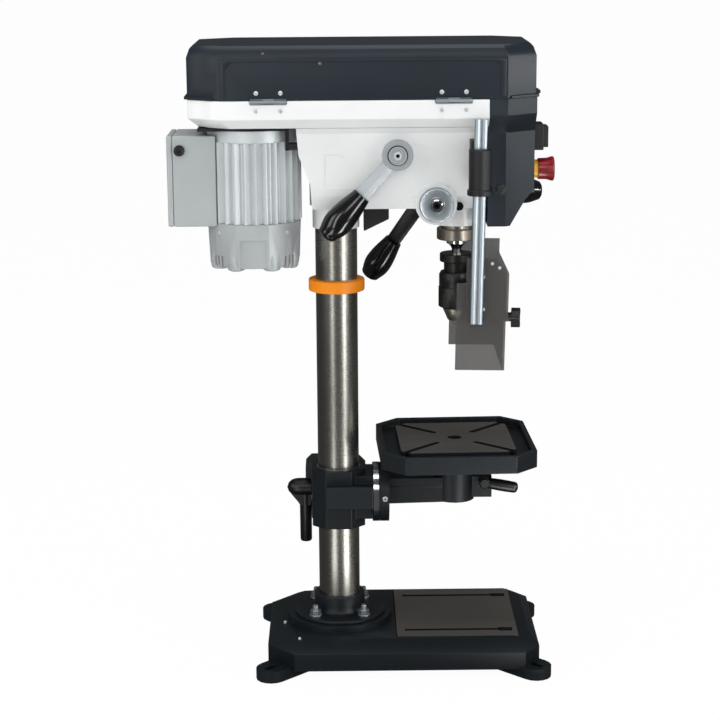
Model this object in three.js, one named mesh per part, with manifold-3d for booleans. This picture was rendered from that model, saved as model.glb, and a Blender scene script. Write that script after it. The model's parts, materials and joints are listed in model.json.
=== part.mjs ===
// Benchtop drill press with a tilting table, a belt drive under a hinged cover and a swing-away chuck guard.
// Millimetres, +Z up, +X towards the operator's side, the machine's near side at -Y.
import * as THREE from "three";
import { mergeVertices } from "three/addons/utils/BufferGeometryUtils.js";
import Module from "manifold-3d";

const wasm = await Module();
wasm.setup();

// Sizes that several pieces share
const gap = 0.3; // between pieces that touch
const overrun = 4; // how far a cutting shape runs past what it cuts
const weld = 1e-4; // corners nearer than this are one corner
const columnSetback = 44; // column axis behind the middle of the footprint
const facets = { wide: 28, round: 20, pulley: 16, fine: 12, small: 8, hex: 6 };

// Cast base: a skirt with a bevelled top, a machined plate with two keyhole slots, and four feet
const base = {
  rear: -122,
  front: 337,
  halfWidth: 152,
  skirtLow: 14,
  skirtHigh: 44,
  top: 59,
  rearCornerLength: 46,
  rearCornerWidth: 50,
  frontCornerLength: 26,
  frontCornerWidth: 32,
  bevelSide: 30,
  bevelEnd: 16,
  wall: 10,
  roof: 11,
  slopeStart: -38,
  slopeDrop: 13,
  bossRadius: 90,
  bossHeight: 9,
};
const plate = { rear: 97, front: 302, halfWidth: 115, proud: 1.5 };
const keySlot = { offset: 84, rear: 111, neckFront: 270, front: 294, neckWidth: 8, mouthWidth: 16 };
const foot = {
  rearX: -115,
  frontX: 329,
  offset: 143,
  radius: 26,
  reach: 62,
  height: 19,
  slotLength: 28,
  slotWidth: 11,
};

// Column and what holds it to the base
const column = { radius: 35, wall: 4, top: 905 };
const flange = { discRadius: 78, discHeight: 5, collarRadius: 43.5, collarHeight: 30, fillet: 6 };
const flangeBolt = {
  offsetX: 41.5,
  offsetY: 45,
  washerRadius: 10.5,
  washerHeight: 3,
  headRadius: 9,
  headHeight: 8,
  studRadius: 5,
  studHeight: 16,
};
const ring = { radius: 47, low: 636, height: 20, chamfer: 2 };

// Table bracket, tilting arm and table, measured from the height of the tilt axis
const tilt = { height: 282, radius: 51, scaleThickness: 12, knuckleThickness: 16, pivotRadius: 12 };
const bracket = {
  up: 48,
  down: 54,
  collarHalf: 45,
  collarFacet: 22,
  bushWall: 2,
  nearFace: 60,
  blockRear: -20,
  blockUp: 25,
  blockDown: 14,
  tiltFace: 58,
  neckHalf: 38,
  earHalfLength: 47,
  earReach: 74,
  earStart: 20,
  earCorner: 14,
  lugReach: 10,
  lugLow: 18,
  slit: 3,
};
const columnLock = {
  axisY: 54,
  axisDrop: 7,
  hubRadius: 15.5,
  hubLength: 34,
  domeLength: 9,
  domeRadius: 7,
  screwRadius: 5,
  handleRadius: 10.5,
  handleSet: 10.8,
  handleLength: 98,
};
const arm = {
  halfWidth: 26,
  low: 15,
  lowFront: 12,
  high: 30,
  bossRadius: 34,
  bossTop: 58,
  earFront: 262,
  earHalfWidth: 17,
  earLow: 7,
  earHigh: 30,
  slit: 3,
};
const table = {
  centre: 199,
  turn: 0.034,
  halfLength: 130,
  halfWidth: 132,
  corner: 38,
  low: 66.5,
  rimTop: 96.5,
  rimWall: 9,
  skirtWall: 9,
  floorLow: 77,
  floorTop: 85,
  plateHalf: 96.5,
  plateCorner: 16.5,
  plateTop: 95,
  hubRadius: 36,
  stemRadius: 20,
  stemLow: 14,
  holeRadius: 12,
  slotInner: 47,
  slotOuter: 130,
  slotWidth: 10,
};
const tableLock = {
  axisX: 249,
  axisUp: 22,
  hubRadius: 9,
  hubLength: 20,
  screwRadius: 4,
  armLength: 22,
  armRadius: 8,
  gripLength: 36,
  gripRadius: 10,
  droop: 0.18,
};

// Head casting, measured from the lower end of its column socket
const head = {
  height: 743,
  socketRadius: 39,
  front: 244,
  low: 38,
  ridge: 61,
  ledge: 146,
  flareStart: 164,
  top: 174,
  lowHalf: 62,
  ridgeHalf: 74,
  bodyHalf: 76,
  ledgeHalf: 80,
  flareHalf: 85,
  topHalf: 97.5,
  rearLow: -38,
  rearBend: -41,
  rearBendHeight: 81,
  rearMid: -59,
  rearMidHeight: 127,
  rearTop: -62,
  wall: 9,
  floor: 10,
  bossRadius: 43,
  bossLow: 5,
  windowRear: -18,
  windowFront: 30,
  windowLow: 75,
  windowHigh: 129,
  windowCorner: 22,
  windowDepth: 1.5,
};
const pan = {
  rear: -236,
  lowRear: -219,
  halfWidth: 118,
  lowHalf: 97.7,
  knee: 190,
  rim: 220,
  cornerLength: 52,
  cornerWidth: 36,
  wall: 4,
  floor: 4,
};
const cover = {
  rear: -236,
  front: 323,
  shoulder: 286,
  brow: 300,
  top: 306,
  browInset: 5,
  topInset: 11,
  rearCorner: 54,
  frontCorner: 48,
  cornerWidth: 37,
  wall: 3.5,
  lip: 5,
  lipHeight: 5,
  lipLength: 42,
  tabLength: 8,
  tabHalfWidth: 22,
};
const hinge = {
  rearStart: -134,
  frontStart: 160,
  length: 58,
  rise: 218.5,
  axisOut: 1,
  knuckle: 2.8,
  pin: 1.2,
  leaf: 1.6,
  web: 4.5,
  leafHeight: 21,
};
const housing = {
  rear: 246.3,
  front: 325,
  low: 11,
  bendHeight: 52,
  noseHeight: 67,
  flareLow: 163,
  flareHigh: 194,
  lowHalf: 85,
  cornerInset: 38,
  wall: 4,
};
const housingShares = { lowFront: 0.466, bendFront: 0.81, corner: 0.365 }; // of its depth
const housingX = (share) => housing.rear + (housing.front - housing.rear) * share;

// Controls on the front housing
const switchBox = {
  low: 127,
  high: 170,
  halfWidth: 22,
  depth: 17,
  rockerDepth: 8,
  rim: 4,
  travel: 2.5,
};
const stopButton = {
  height: 94,
  collarRadius: 17,
  collarDepth: 13,
  stemRadius: 12,
  headRadius: 20.5,
  waistRadius: 17.5,
  depth: 37,
  travel: 4,
};
const lowerButton = { radius: 7, proud: 9, depth: 7 };

// Belt drive
const drive = {
  motorX: -135,
  idlerX: 33,
  spindleX: 201,
  low: 186,
  step: 19,
  groove: 9,
  grooveDepth: 8,
  beltHeight: 7.4,
  beltThickness: 7,
  idlerPost: 9,
};
const motorSteps = [28, 37, 46, 55];
const idlerSteps = [60, 50, 40, 30];
const spindleSteps = [30, 40, 50, 60];
const rearBeltStepCount = 0; // pulley steps below each belt
const frontBeltStepCount = 2;

// Motor on its sliding carriage
const motor = {
  radius: 70,
  finTip: 78.5,
  finCount: 28,
  bandRadius: 76,
  bandLow: 148,
  bandTop: 167,
  bodyLow: 15,
  coverRadius: 80.5,
  coverLow: -63,
  coverFootRadius: 78,
  coverChamfer: 5,
  recessHalf: 22,
  recessTop: -11,
  recessDepth: 6,
  shaftRadius: 8,
};
const finShares = [0, 0.3, 0.42, 0.88]; // where each fin's flank starts and ends in its pitch
const carriage = {
  height: 5,
  rear: -222,
  halfWidth: 72,
  discRadius: 70,
  lugThickness: 6,
  rodRadius: 6.5,
  rodOffset: 65,
  rodHeight: 142,
  rodReach: 52,
  travel: 12,
};
const junction = {
  rear: -274,
  lidThickness: 9,
  front: -188,
  near: -55,
  far: 50,
  low: 10,
  high: 159,
  corner: 5,
  glandX: -253,
  glandHeight: 135,
  glandRadius: 9,
  glandLength: 9,
};

// Belt tension lever on the near side
const tension = {
  x: 100.5,
  height: 129,
  bossRadius: 27,
  bossOut: 85,
  hubRadius: 25,
  hubThickness: 13,
  capRadius: 15,
  capThickness: 5,
  armWidth: 25,
  armEnd: 92,
  armThickness: 9,
  gripStart: 86,
  gripLength: 92,
  angle: 3.98,
};
const grip = { neck: 15.5, belly: 23.5, bellyShare: 0.62, tip: 17 };

// Quill, spindle and keyless chuck
const quill = {
  radius: 27,
  bore: 13,
  top: 150,
  collarRadius: 33,
  collarTop: -3,
  collarLow: -22,
};
const spindle = {
  radius: 9,
  noseRadius: 17,
  noseLow: -29,
  neckTop: -38,
  neckRadius: 8,
  taperEnd: -72,
  splineTop: 276,
};
const chuck = {
  flangeRadius: 28,
  top: -46,
  flangeLow: -60,
  neckRadius: 21,
  sleeveTop: -77,
  sleeveRadius: 29,
  knurlTop: -102,
  knurlRadius: 30,
  sleeveLow: -137,
  coneRadius: 24,
  noseRadius: 14,
  noseLow: -160,
  jawTip: -167,
  jawRadius: 3.4,
  jawSpread: 4,
  jawLean: 0.21,
  jawLength: 40,
  jawTravel: 20,
  mouth: 5,
};
const jawCount = 3;

// Feed shaft with its return spring on the near side and three levers on the far side
const feed = {
  behindSpindle: 38,
  height: 48,
  shaftRadius: 10,
  bossRadius: 34,
  bossOut: 84,
  capRadius: 28,
  capThickness: 13,
  capWall: 3,
  nutRadius: 10,
  nutThickness: 5,
  hubRadius: 27,
  hubFar: 156,
  farBossOut: 84,
  leverPlane: 112,
  leverLean: 0.2166,
  armWidth: 24,
  armThickness: 9,
  armEnd: 123.5,
  gripStart: 117.5,
  gripLength: 81.5,
  firstAngle: 4.125,
};
const leverCount = 3;

// Chuck guard on a twin rod beside the head
const guard = {
  x: 230.5,
  y: -130,
  holderLow: 69,
  holderTop: 143,
  holderRadius: 18.3,
  holderLip: 2.4,
  cradleLow: 84,
  cradleTop: 154,
  cradleHalf: 14,
  screwHeight: 73,
  screwRadius: 5,
  screwLength: 22,
  lean: 0.02,
  rodRadius: 5.2,
  rodOffset: 5.6,
  rodTop: 190,
  rodLow: -141,
};
const shield = {
  wall: 3,
  rear: -17,
  front: 52,
  width: 202,
  top: -34,
  slopeRun: 19,
  slopeDrop: 29,
  low: -137,
  lowerRear: -32,
  lowerTop: -76,
  lowerLow: -220,
  slotHigh: -141,
  slotLow: -212,
  slotWidth: 7,
  slotY: 118,
  knobHeight: -154,
  knobHub: 8,
  knobArm: 17,
  knobArmWidth: 9,
  knobLength: 30,
  screwRadius: 3,
};
const lamp = { rear: 46, front: 88, near: -12, far: 30, low: -7, frontLow: 13 };

// Colour, roughness and metalness of each finish
const finishes = {
  anthracite: [0x2e353c, 0.5, 0.1],
  white: [0xe8eaea, 0.45, 0.05],
  castGrey: [0xa6adad, 0.5, 0.35],
  steel: [0x9a9a98, 0.3, 0.9],
  aluminium: [0xb9c0c4, 0.35, 0.85],
  zinc: [0x8b9499, 0.4, 0.7],
  black: [0x141517, 0.35, 0],
  chuckBlack: [0x232323, 0.4, 0.6],
  orange: [0xf59a00, 0.45, 0],
  yellow: [0xf2c230, 0.45, 0],
  red: [0xa80f1c, 0.4, 0],
  rubber: [0x1c1c1c, 0.8, 0],
};

// Turns a closed three.js geometry into a solid that can be joined and cut
function toSolid(geometry) {
  const bare = geometry.clone();
  bare.deleteAttribute("normal");
  bare.deleteAttribute("uv");
  const merged = mergeVertices(bare, weld);
  const corners = merged.index.array;
  const points = merged.attributes.position;
  const faces = [];
  const [a, b, c] = [new THREE.Vector3(), new THREE.Vector3(), new THREE.Vector3()];
  let volume = 0;
  for (let i = 0; i < corners.length; i += 3) {
    const [ia, ib, ic] = [corners[i], corners[i + 1], corners[i + 2]];
    if (ia === ib || ib === ic || ic === ia) continue;
    faces.push([ia, ib, ic]);
    a.fromBufferAttribute(points, ia);
    b.fromBufferAttribute(points, ib);
    c.fromBufferAttribute(points, ic);
    volume += a.dot(b.cross(c));
  }
  const outward = volume > 0 ? faces : faces.map((face) => [...face].reverse());
  return new wasm.Manifold(
    new wasm.Mesh({
      numProp: 3,
      vertProperties: points.array,
      triVerts: new Uint32Array(outward.flat()),
    }),
  );
}

const join = (...solids) => solids.reduce((whole, piece) => whole.add(piece));
const cut = (solid, ...tools) => tools.reduce((whole, tool) => whole.subtract(tool), solid);
const common = (...solids) => solids.reduce((whole, piece) => whole.intersect(piece));

// Turns a shape built along Z so that it runs along X, Y or Z
const alongAxis = {
  x: new THREE.Matrix4().makeBasis(
    new THREE.Vector3(0, 1, 0),
    new THREE.Vector3(0, 0, 1),
    new THREE.Vector3(1, 0, 0),
  ),
  y: new THREE.Matrix4().makeBasis(
    new THREE.Vector3(0, 0, 1),
    new THREE.Vector3(1, 0, 0),
    new THREE.Vector3(0, 1, 0),
  ),
  z: new THREE.Matrix4(),
};

// A box between two values on each axis
function block(x, y, z) {
  const box = new THREE.BoxGeometry(x[1] - x[0], y[1] - y[0], z[1] - z[0]);
  return toSolid(box.translate((x[0] + x[1]) / 2, (y[0] + y[1]) / 2, (z[0] + z[1]) / 2));
}

// An outline pushed along an axis; its points are (x, y) along Z, (y, z) along X and (z, x) along Y
function prism(outline, along, from, to) {
  const shape = new THREE.Shape(outline.map(([u, v]) => new THREE.Vector2(u, v)));
  const body = new THREE.ExtrudeGeometry(
    shape,
    { depth: to - from, bevelEnabled: false, curveSegments: 1 },
  );
  return toSolid(body.translate(0, 0, from).applyMatrix4(alongAxis[along]));
}

// An outline of (x, z) points pushed along Y
const sidePrism = (outline, from, to) =>
  prism(
    outline.map(([x, z]) => [z, x]),
    "y",
    from,
    to,
  );

// A profile of (radius, height) points turned about an axis, then moved to a place or by a matrix
function turned(profile, along, at = [0, 0, 0], sides = facets.round) {
  const points = profile.map(([radius, height]) => new THREE.Vector2(radius, height));
  const body = new THREE.LatheGeometry(points, sides).rotateX(Math.PI / 2);
  const move = Array.isArray(at) ? new THREE.Matrix4().makeTranslation(...at) : at;
  return toSolid(body.applyMatrix4(alongAxis[along]).applyMatrix4(move));
}

// A round bar or a tube between two values on its axis
const bar = (radius, from, to, along, at, sides) =>
  turned([[0, from], [radius, from], [radius, to], [0, to]], along, at, sides);
const tube = (radius, bore, from, to, along, at, sides) =>
  turned([[bore, from], [radius, from], [radius, to], [bore, to], [bore, from]], along, at, sides);

// A skin over rings of points that have the same count, closed at both ends
function loft(rings) {
  const count = rings[0].length;
  const vertices = rings.flat(2);
  const faces = [];
  for (let level = 0; level + 1 < rings.length; level += 1) {
    for (let i = 0; i < count; i += 1) {
      const next = (i + 1) % count;
      const [low, high] = [level * count, (level + 1) * count];
      faces.push(low + i, low + next, high + next, low + i, high + next, high + i);
    }
  }
  const last = (rings.length - 1) * count;
  for (let i = 1; i + 1 < count; i += 1) {
    faces.push(0, i + 1, i, last, last + i, last + i + 1);
  }
  const body = new THREE.BufferGeometry();
  body.setAttribute("position", new THREE.Float32BufferAttribute(vertices, 3));
  body.setIndex(faces);
  return toSolid(body);
}

const atHeight = (outline, z) => outline.map(([x, y]) => [x, y, z]);

// Outline of a rectangle with cut corners, its rear and front corners cut by their own length and width
function cutRectangle(rear, front, halfWidth, rearCut, frontCut) {
  return [
    [rear, -halfWidth + rearCut[1]],
    [rear + rearCut[0], -halfWidth],
    [front - frontCut[0], -halfWidth],
    [front, -halfWidth + frontCut[1]],
    [front, halfWidth - frontCut[1]],
    [front - frontCut[0], halfWidth],
    [rear + rearCut[0], halfWidth],
    [rear, halfWidth - rearCut[1]],
  ];
}

// Outline of a bar with round ends from the origin along a direction
function roundEnded(length, radius, direction, centre) {
  const points = [];
  for (let i = 0; i <= facets.small; i += 1) {
    const turn = direction + Math.PI / 2 + (Math.PI * i) / facets.small;
    points.push([centre[0] + radius * Math.cos(turn), centre[1] + radius * Math.sin(turn)]);
  }
  const end = [centre[0] + length * Math.cos(direction), centre[1] + length * Math.sin(direction)];
  for (let i = 0; i <= facets.small; i += 1) {
    const turn = direction - Math.PI / 2 + (Math.PI * i) / facets.small;
    points.push([end[0] + radius * Math.cos(turn), end[1] + radius * Math.sin(turn)]);
  }
  return points;
}

// Makes the named mesh of a solid and puts it in its group
function piece(name, solid, finish, group) {
  const made = solid.getMesh();
  const flat = new THREE.BufferGeometry();
  flat.setAttribute("position", new THREE.Float32BufferAttribute(made.vertProperties, made.numProp));
  flat.setIndex(new THREE.Uint32BufferAttribute(made.triVerts, 1));
  const geometry = flat.toNonIndexed();
  geometry.computeVertexNormals();
  const [color, roughness, metalness] = finishes[finish];
  const mesh = new THREE.Mesh(
    geometry,
    new THREE.MeshStandardMaterial({ color, roughness, metalness }),
  );
  mesh.name = name;
  group.add(mesh);
  return mesh;
}

// A group at a place inside another group
function groupAt(parent, x, y, z) {
  const group = new THREE.Group();
  group.position.set(x, y, z);
  parent.add(group);
  return group;
}

const drillPress = new THREE.Group();
const stand = groupAt(drillPress, -columnSetback, 0, 0);

// Base casting
function baseCasting() {
  const skirt = cutRectangle(
    base.rear,
    base.front,
    base.halfWidth,
    [base.rearCornerLength, base.rearCornerWidth],
    [base.frontCornerLength, base.frontCornerWidth],
  );
  const topOutline = cutRectangle(
    base.rear + base.bevelEnd,
    base.front - base.bevelEnd,
    base.halfWidth - base.bevelSide,
    [base.rearCornerLength, base.rearCornerWidth],
    [base.frontCornerLength, base.frontCornerWidth],
  );
  const slope = sidePrism(
    [
      [base.slopeStart, base.top],
      [base.rear - overrun, base.top - base.slopeDrop],
      [base.rear - overrun, base.top + overrun],
      [base.slopeStart, base.top + overrun],
    ],
    -base.halfWidth - overrun,
    base.halfWidth + overrun,
  );
  const outside = loft([
    atHeight(skirt, base.skirtLow),
    atHeight(skirt, base.skirtHigh),
    atHeight(topOutline, base.top),
  ]);
  const hollow = loft([
    atHeight(insetOutline(skirt, base.wall), base.skirtLow - overrun),
    atHeight(insetOutline(skirt, base.wall), base.skirtHigh - base.roof),
    atHeight(insetOutline(topOutline, base.wall), base.top - base.slopeDrop - base.roof),
  ]);
  const boss = bar(
    base.bossRadius,
    base.skirtHigh,
    base.top + base.bossHeight,
    "z",
    [0, 0, 0],
    facets.wide,
  );
  const machined = block(
    [plate.rear, plate.front],
    [-plate.halfWidth, plate.halfWidth],
    [base.skirtHigh, base.top + plate.proud],
  );
  let casting = join(cut(outside, slope), boss, machined);
  casting = cut(casting, hollow);
  for (const side of [-1, 1]) {
    for (const slot of keySlotCuts(side * keySlot.offset)) casting = casting.subtract(slot);
  }
  for (const [x, inward] of [[foot.rearX, 1], [foot.frontX, -1]]) {
    for (const side of [-1, 1]) {
      const direction = Math.atan2(-side, inward);
      const lug = prism(
        roundEnded(foot.reach, foot.radius, direction, [x, side * foot.offset]),
        "z",
        0,
        foot.height,
      );
      casting = casting.add(lug);
    }
  }
  for (const [x, inward] of [[foot.rearX, 1], [foot.frontX, -1]]) {
    for (const side of [-1, 1]) {
      const direction = Math.atan2(-side, inward);
      const start = [
        x - (Math.cos(direction) * (foot.slotLength - foot.slotWidth)) / 2,
        side * foot.offset - (Math.sin(direction) * (foot.slotLength - foot.slotWidth)) / 2,
      ];
      const hole = roundEnded(foot.slotLength - foot.slotWidth, foot.slotWidth / 2, direction, start);
      casting = casting.subtract(prism(hole, "z", -overrun, foot.height + overrun));
    }
  }
  return casting;
}

// Moves every corner of an outline about the middle inwards by a wall
function insetOutline(outline, wall) {
  const middle = outline.reduce(
    (sum, [x, y]) => [sum[0] + x / outline.length, sum[1] + y / outline.length],
    [0, 0],
  );
  return outline.map(([x, y]) => [
    x - Math.sign(x - middle[0]) * wall,
    y - Math.sign(y - middle[1]) * wall,
  ]);
}

function keySlotCuts(y) {
  const height = [base.skirtLow, base.top + plate.proud + overrun];
  return [
    block(
      [keySlot.rear, keySlot.front],
      [y - keySlot.neckWidth / 2, y + keySlot.neckWidth / 2],
      height,
    ),
    block(
      [keySlot.neckFront, keySlot.front],
      [y - keySlot.mouthWidth / 2, y + keySlot.mouthWidth / 2],
      height,
    ),
  ];
}

// Foot flange, its bolts, the column and the ring on it
const flangeLow = base.top + base.bossHeight + gap;
const flangeTop = flangeLow + flange.discHeight;

function columnFlange() {
  const bore = column.radius + gap;
  return turned(
    [
      [bore, flangeLow],
      [flange.discRadius, flangeLow],
      [flange.discRadius, flangeTop],
      [flange.collarRadius + flange.fillet, flangeTop],
      [flange.collarRadius, flangeTop + flange.fillet],
      [flange.collarRadius, flangeTop + flange.collarHeight],
      [bore, flangeTop + flange.collarHeight],
      [bore, flangeLow],
    ],
    "z",
    [0, 0, 0],
    facets.wide,
  );
}

function flangeBoltSolid() {
  const washerTop = flangeBolt.washerHeight;
  const headTop = washerTop + flangeBolt.headHeight;
  return join(
    bar(flangeBolt.washerRadius, 0, washerTop, "z", [0, 0, 0], facets.fine),
    bar(flangeBolt.headRadius, 0, headTop, "z", [0, 0, 0], facets.hex),
    bar(flangeBolt.studRadius, 0, washerTop + flangeBolt.studHeight, "z", [0, 0, 0], facets.small),
  );
}

function columnRing() {
  const bore = column.radius + gap;
  const inner = ring.radius - ring.chamfer;
  return turned(
    [
      [bore, 0],
      [inner, 0],
      [ring.radius, ring.chamfer],
      [ring.radius, ring.height - ring.chamfer],
      [inner, ring.height],
      [bore, ring.height],
      [bore, 0],
    ],
    "z",
    [0, 0, 0],
    facets.wide,
  );
}

function buildStand() {
  piece("base_casting", baseCasting(), "anthracite", stand);
  piece("column_flange", columnFlange(), "anthracite", stand);
  let number = 1;
  for (const x of [-flangeBolt.offsetX, flangeBolt.offsetX]) {
    for (const y of [-flangeBolt.offsetY, flangeBolt.offsetY]) {
      const bolt = piece(`flange_bolt_${number}`, flangeBoltSolid(), "steel", stand);
      bolt.position.set(x, y, flangeTop + gap);
      number += 1;
    }
  }
  const columnLow = base.top + base.bossHeight + gap;
  piece(
    "column",
    tube(
      column.radius,
      column.radius - column.wall,
      columnLow,
      column.top,
      "z",
      [0, 0, 0],
      facets.wide,
    ),
    "steel",
    stand,
  );
  piece("column_ring", columnRing(), "orange", stand).position.z = ring.low;
}

// Table bracket clamped on the column, with the tilting arm, the table and both locks
const tableGroup = groupAt(stand, 0, 0, tilt.height);
const bushRadius = column.radius + gap + bracket.bushWall;

function tableBracket() {
  const [side, facet] = [bracket.collarHalf, bracket.collarFacet];
  const quarter = [
    [side, -facet],
    [side, facet],
  ];
  const outline = [
    ...quarter,
    ...quarter.map(([x, y]) => [-y, x]),
    ...quarter.map(([x, y]) => [-x, -y]),
    ...quarter.map(([x, y]) => [y, -x]),
  ];
  const collar = prism(outline, "z", -bracket.down, bracket.up);
  const middle = block(
    [bracket.blockRear, bracket.tiltFace],
    [-bracket.nearFace, 0],
    [-bracket.blockDown, bracket.blockUp],
  );
  const neck = block(
    [0, bracket.tiltFace],
    [-bracket.neckHalf, bracket.neckHalf],
    [-bracket.neckHalf, bracket.neckHalf],
  );
  const [earEnd, corner] = [bracket.earHalfLength, bracket.earCorner];
  const ears = sidePrism(
    [
      [-earEnd, -bracket.down],
      [earEnd - corner, -bracket.down],
      [earEnd, corner - bracket.down],
      [earEnd, bracket.up - corner],
      [earEnd - corner, bracket.up],
      [-earEnd, bracket.up],
      [-earEnd - bracket.lugReach, bracket.up - bracket.lugReach],
      [-earEnd - bracket.lugReach, bracket.lugLow],
      [-earEnd, bracket.lugLow],
    ],
    bracket.earStart,
    bracket.earReach,
  );
  const dial = bar(tilt.radius, bracket.tiltFace, bracket.tiltFace + tilt.scaleThickness, "x");
  const bore = bar(
    bushRadius + gap,
    -bracket.down - overrun,
    bracket.up + overrun,
    "z",
    [0, 0, 0],
    facets.wide,
  );
  const slit = block(
    [-bracket.slit / 2, bracket.slit / 2],
    [0, bracket.earReach + overrun],
    [-bracket.down - overrun, bracket.up + overrun],
  );
  const screwHole = bar(
    columnLock.screwRadius + gap,
    -bracket.earHalfLength - overrun,
    bracket.earHalfLength + overrun,
    "x",
    [0, columnLock.axisY, -columnLock.axisDrop],
    facets.fine,
  );
  const solid = cut(join(collar, middle, neck, ears, dial), bore, slit, screwHole);
  return cut(
    solid,
    bar(
      tilt.pivotRadius + gap,
      bracket.tiltFace - tilt.pivotRadius,
      bracket.tiltFace + tilt.scaleThickness + overrun,
      "x",
    ),
  );
}

function columnLockLever() {
  const start = -bracket.earHalfLength - gap;
  const hubEnd = start - columnLock.hubLength;
  const hub = turned(
    [
      [0, start],
      [columnLock.hubRadius, start],
      [columnLock.hubRadius, hubEnd],
      [columnLock.domeRadius, hubEnd - columnLock.domeLength / 2],
      [0, hubEnd - columnLock.domeLength],
    ],
    "x",
    [0, 0, 0],
    facets.fine,
  );
  const screw = bar(columnLock.screwRadius, start, bracket.earHalfLength, "x", [0, 0, 0], facets.small);
  const handle = turned(
    [
      [0, 0],
      [columnLock.handleRadius, 0],
      [columnLock.handleRadius, -columnLock.handleLength],
      [0, -columnLock.handleLength],
    ],
    "z",
    [start - columnLock.handleSet, 0, 0],
    facets.fine,
  );
  return join(hub, screw, handle);
}

function tableArm() {
  const face = bracket.tiltFace + tilt.scaleThickness + gap;
  const knuckle = bar(tilt.radius, face, face + tilt.knuckleThickness, "x");
  const pivot = bar(
    tilt.pivotRadius,
    bracket.tiltFace - tilt.pivotRadius + gap,
    face + tilt.knuckleThickness,
    "x",
  );
  const beam = sidePrism(
    [
      [face, -arm.low],
      [table.centre, -arm.lowFront],
      [table.centre, arm.high],
      [face, arm.high],
    ],
    -arm.halfWidth,
    arm.halfWidth,
  );
  const boss = bar(arm.bossRadius, -arm.lowFront, arm.bossTop, "z", [table.centre, 0, 0]);
  const ears = block(
    [table.centre, arm.earFront],
    [-arm.earHalfWidth, arm.earHalfWidth],
    [-arm.earLow, arm.earHigh],
  );
  const bore = bar(
    table.stemRadius + gap,
    -arm.low - overrun,
    arm.bossTop + overrun,
    "z",
    [table.centre, 0, 0],
  );
  const slit = block(
    [table.centre, arm.earFront + overrun],
    [-arm.slit / 2, arm.slit / 2],
    [-arm.low - overrun, arm.bossTop + overrun],
  );
  const screwHole = bar(
    tableLock.screwRadius + gap,
    -arm.earHalfWidth - overrun,
    arm.earHalfWidth + overrun,
    "y",
    [tableLock.axisX, 0, tableLock.axisUp],
    facets.fine,
  );
  return cut(join(knuckle, pivot, beam, boss, ears), bore, slit, screwHole);
}

function tableSolid() {
  const outline = (length, width, corner) => cutRectangle(
    -length,
    length,
    width,
    [corner, corner],
    [corner, corner],
  );
  const body = prism(
    outline(table.halfLength, table.halfWidth, table.corner),
    "z",
    table.low,
    table.rimTop,
  );
  const trough = prism(
    outline(
      table.halfLength - table.rimWall,
      table.halfWidth - table.rimWall,
      table.corner - table.rimWall / 2,
    ),
    "z",
    table.floorTop,
    table.rimTop + overrun,
  );
  const under = prism(
    outline(
      table.halfLength - table.skirtWall,
      table.halfWidth - table.skirtWall,
      table.corner - table.skirtWall / 2,
    ),
    "z",
    table.low - overrun,
    table.floorLow,
  );
  const raised = prism(
    outline(table.plateHalf, table.plateHalf, table.plateCorner),
    "z",
    table.floorLow,
    table.plateTop,
  );
  const hub = bar(table.hubRadius, arm.bossTop + gap, table.floorTop, "z");
  const stem = bar(table.stemRadius, table.stemLow, table.floorTop, "z");
  let solid = join(cut(body, trough, under), raised, hub, stem);
  solid = solid.subtract(bar(table.holeRadius, table.stemLow - overrun, table.plateTop + overrun, "z"));
  for (const turn of [1, 3, 5, 7]) {
    const direction = (turn * Math.PI) / 4;
    const start = [table.slotInner * Math.cos(direction), table.slotInner * Math.sin(direction)];
    const slot = roundEnded(table.slotOuter - table.slotInner, table.slotWidth / 2, direction, start);
    solid = solid.subtract(prism(slot, "z", table.floorTop, table.plateTop + overrun));
  }
  return solid;
}

function tableLockLever() {
  const near = -arm.earHalfWidth - gap;
  const hub = bar(tableLock.hubRadius, near - tableLock.hubLength, near, "y", [0, 0, 0], facets.small);
  const screw = bar(
    tableLock.screwRadius,
    near - tableLock.hubLength,
    arm.earHalfWidth,
    "y",
    [0, 0, 0],
    facets.small,
  );
  const middle = near - tableLock.hubLength / 2;
  const shank = bar(tableLock.armRadius, 0, tableLock.armLength, "x", [0, middle, 0], facets.small);
  const handle = bar(
    tableLock.gripRadius,
    tableLock.armLength,
    tableLock.armLength + tableLock.gripLength,
    "x",
    [0, middle, 0],
    facets.small,
  );
  return join(hub, screw, shank, handle);
}

function buildTable() {
  const bush = tube(
    bushRadius,
    column.radius + gap,
    -bracket.down,
    bracket.up,
    "z",
    [0, 0, 0],
    facets.wide,
  );
  piece("bracket_bush", bush, "zinc", tableGroup);
  piece("table_bracket", tableBracket(), "anthracite", tableGroup);
  const lock = piece("column_lock_lever", columnLockLever(), "black", tableGroup);
  lock.position.set(0, columnLock.axisY, -columnLock.axisDrop);
  piece("table_arm", tableArm(), "anthracite", tableGroup);
  const top = piece("work_table", tableSolid(), "anthracite", tableGroup);
  top.position.x = table.centre;
  top.rotation.z = table.turn;
  const clampLever = piece("table_lock_lever", tableLockLever(), "black", tableGroup);
  clampLever.position.set(tableLock.axisX, 0, tableLock.axisUp);
  clampLever.rotation.y = tableLock.droop;
}

// Height and front end of the carriage that holds the motor under the belt pan
const carriageLow = motor.bandTop + gap;
const carriageFront = head.rearTop - carriage.travel - gap;

// Head casting on the column: a hollow body with a column socket, a quill boss and bosses for the shafts
const headGroup = groupAt(stand, 0, 0, head.height);
const feedX = drive.spindleX - feed.behindSpindle;

function headSection() {
  const half = [
    [head.lowHalf, head.low],
    [head.ridgeHalf, head.ridge],
    [head.bodyHalf, head.rearMidHeight],
    [head.ledgeHalf, head.ledge],
    [head.flareHalf, head.flareStart],
    [head.topHalf, head.top - gap],
  ];
  return [...half, ...half.map(([y, z]) => [-y, z]).reverse()];
}

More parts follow.
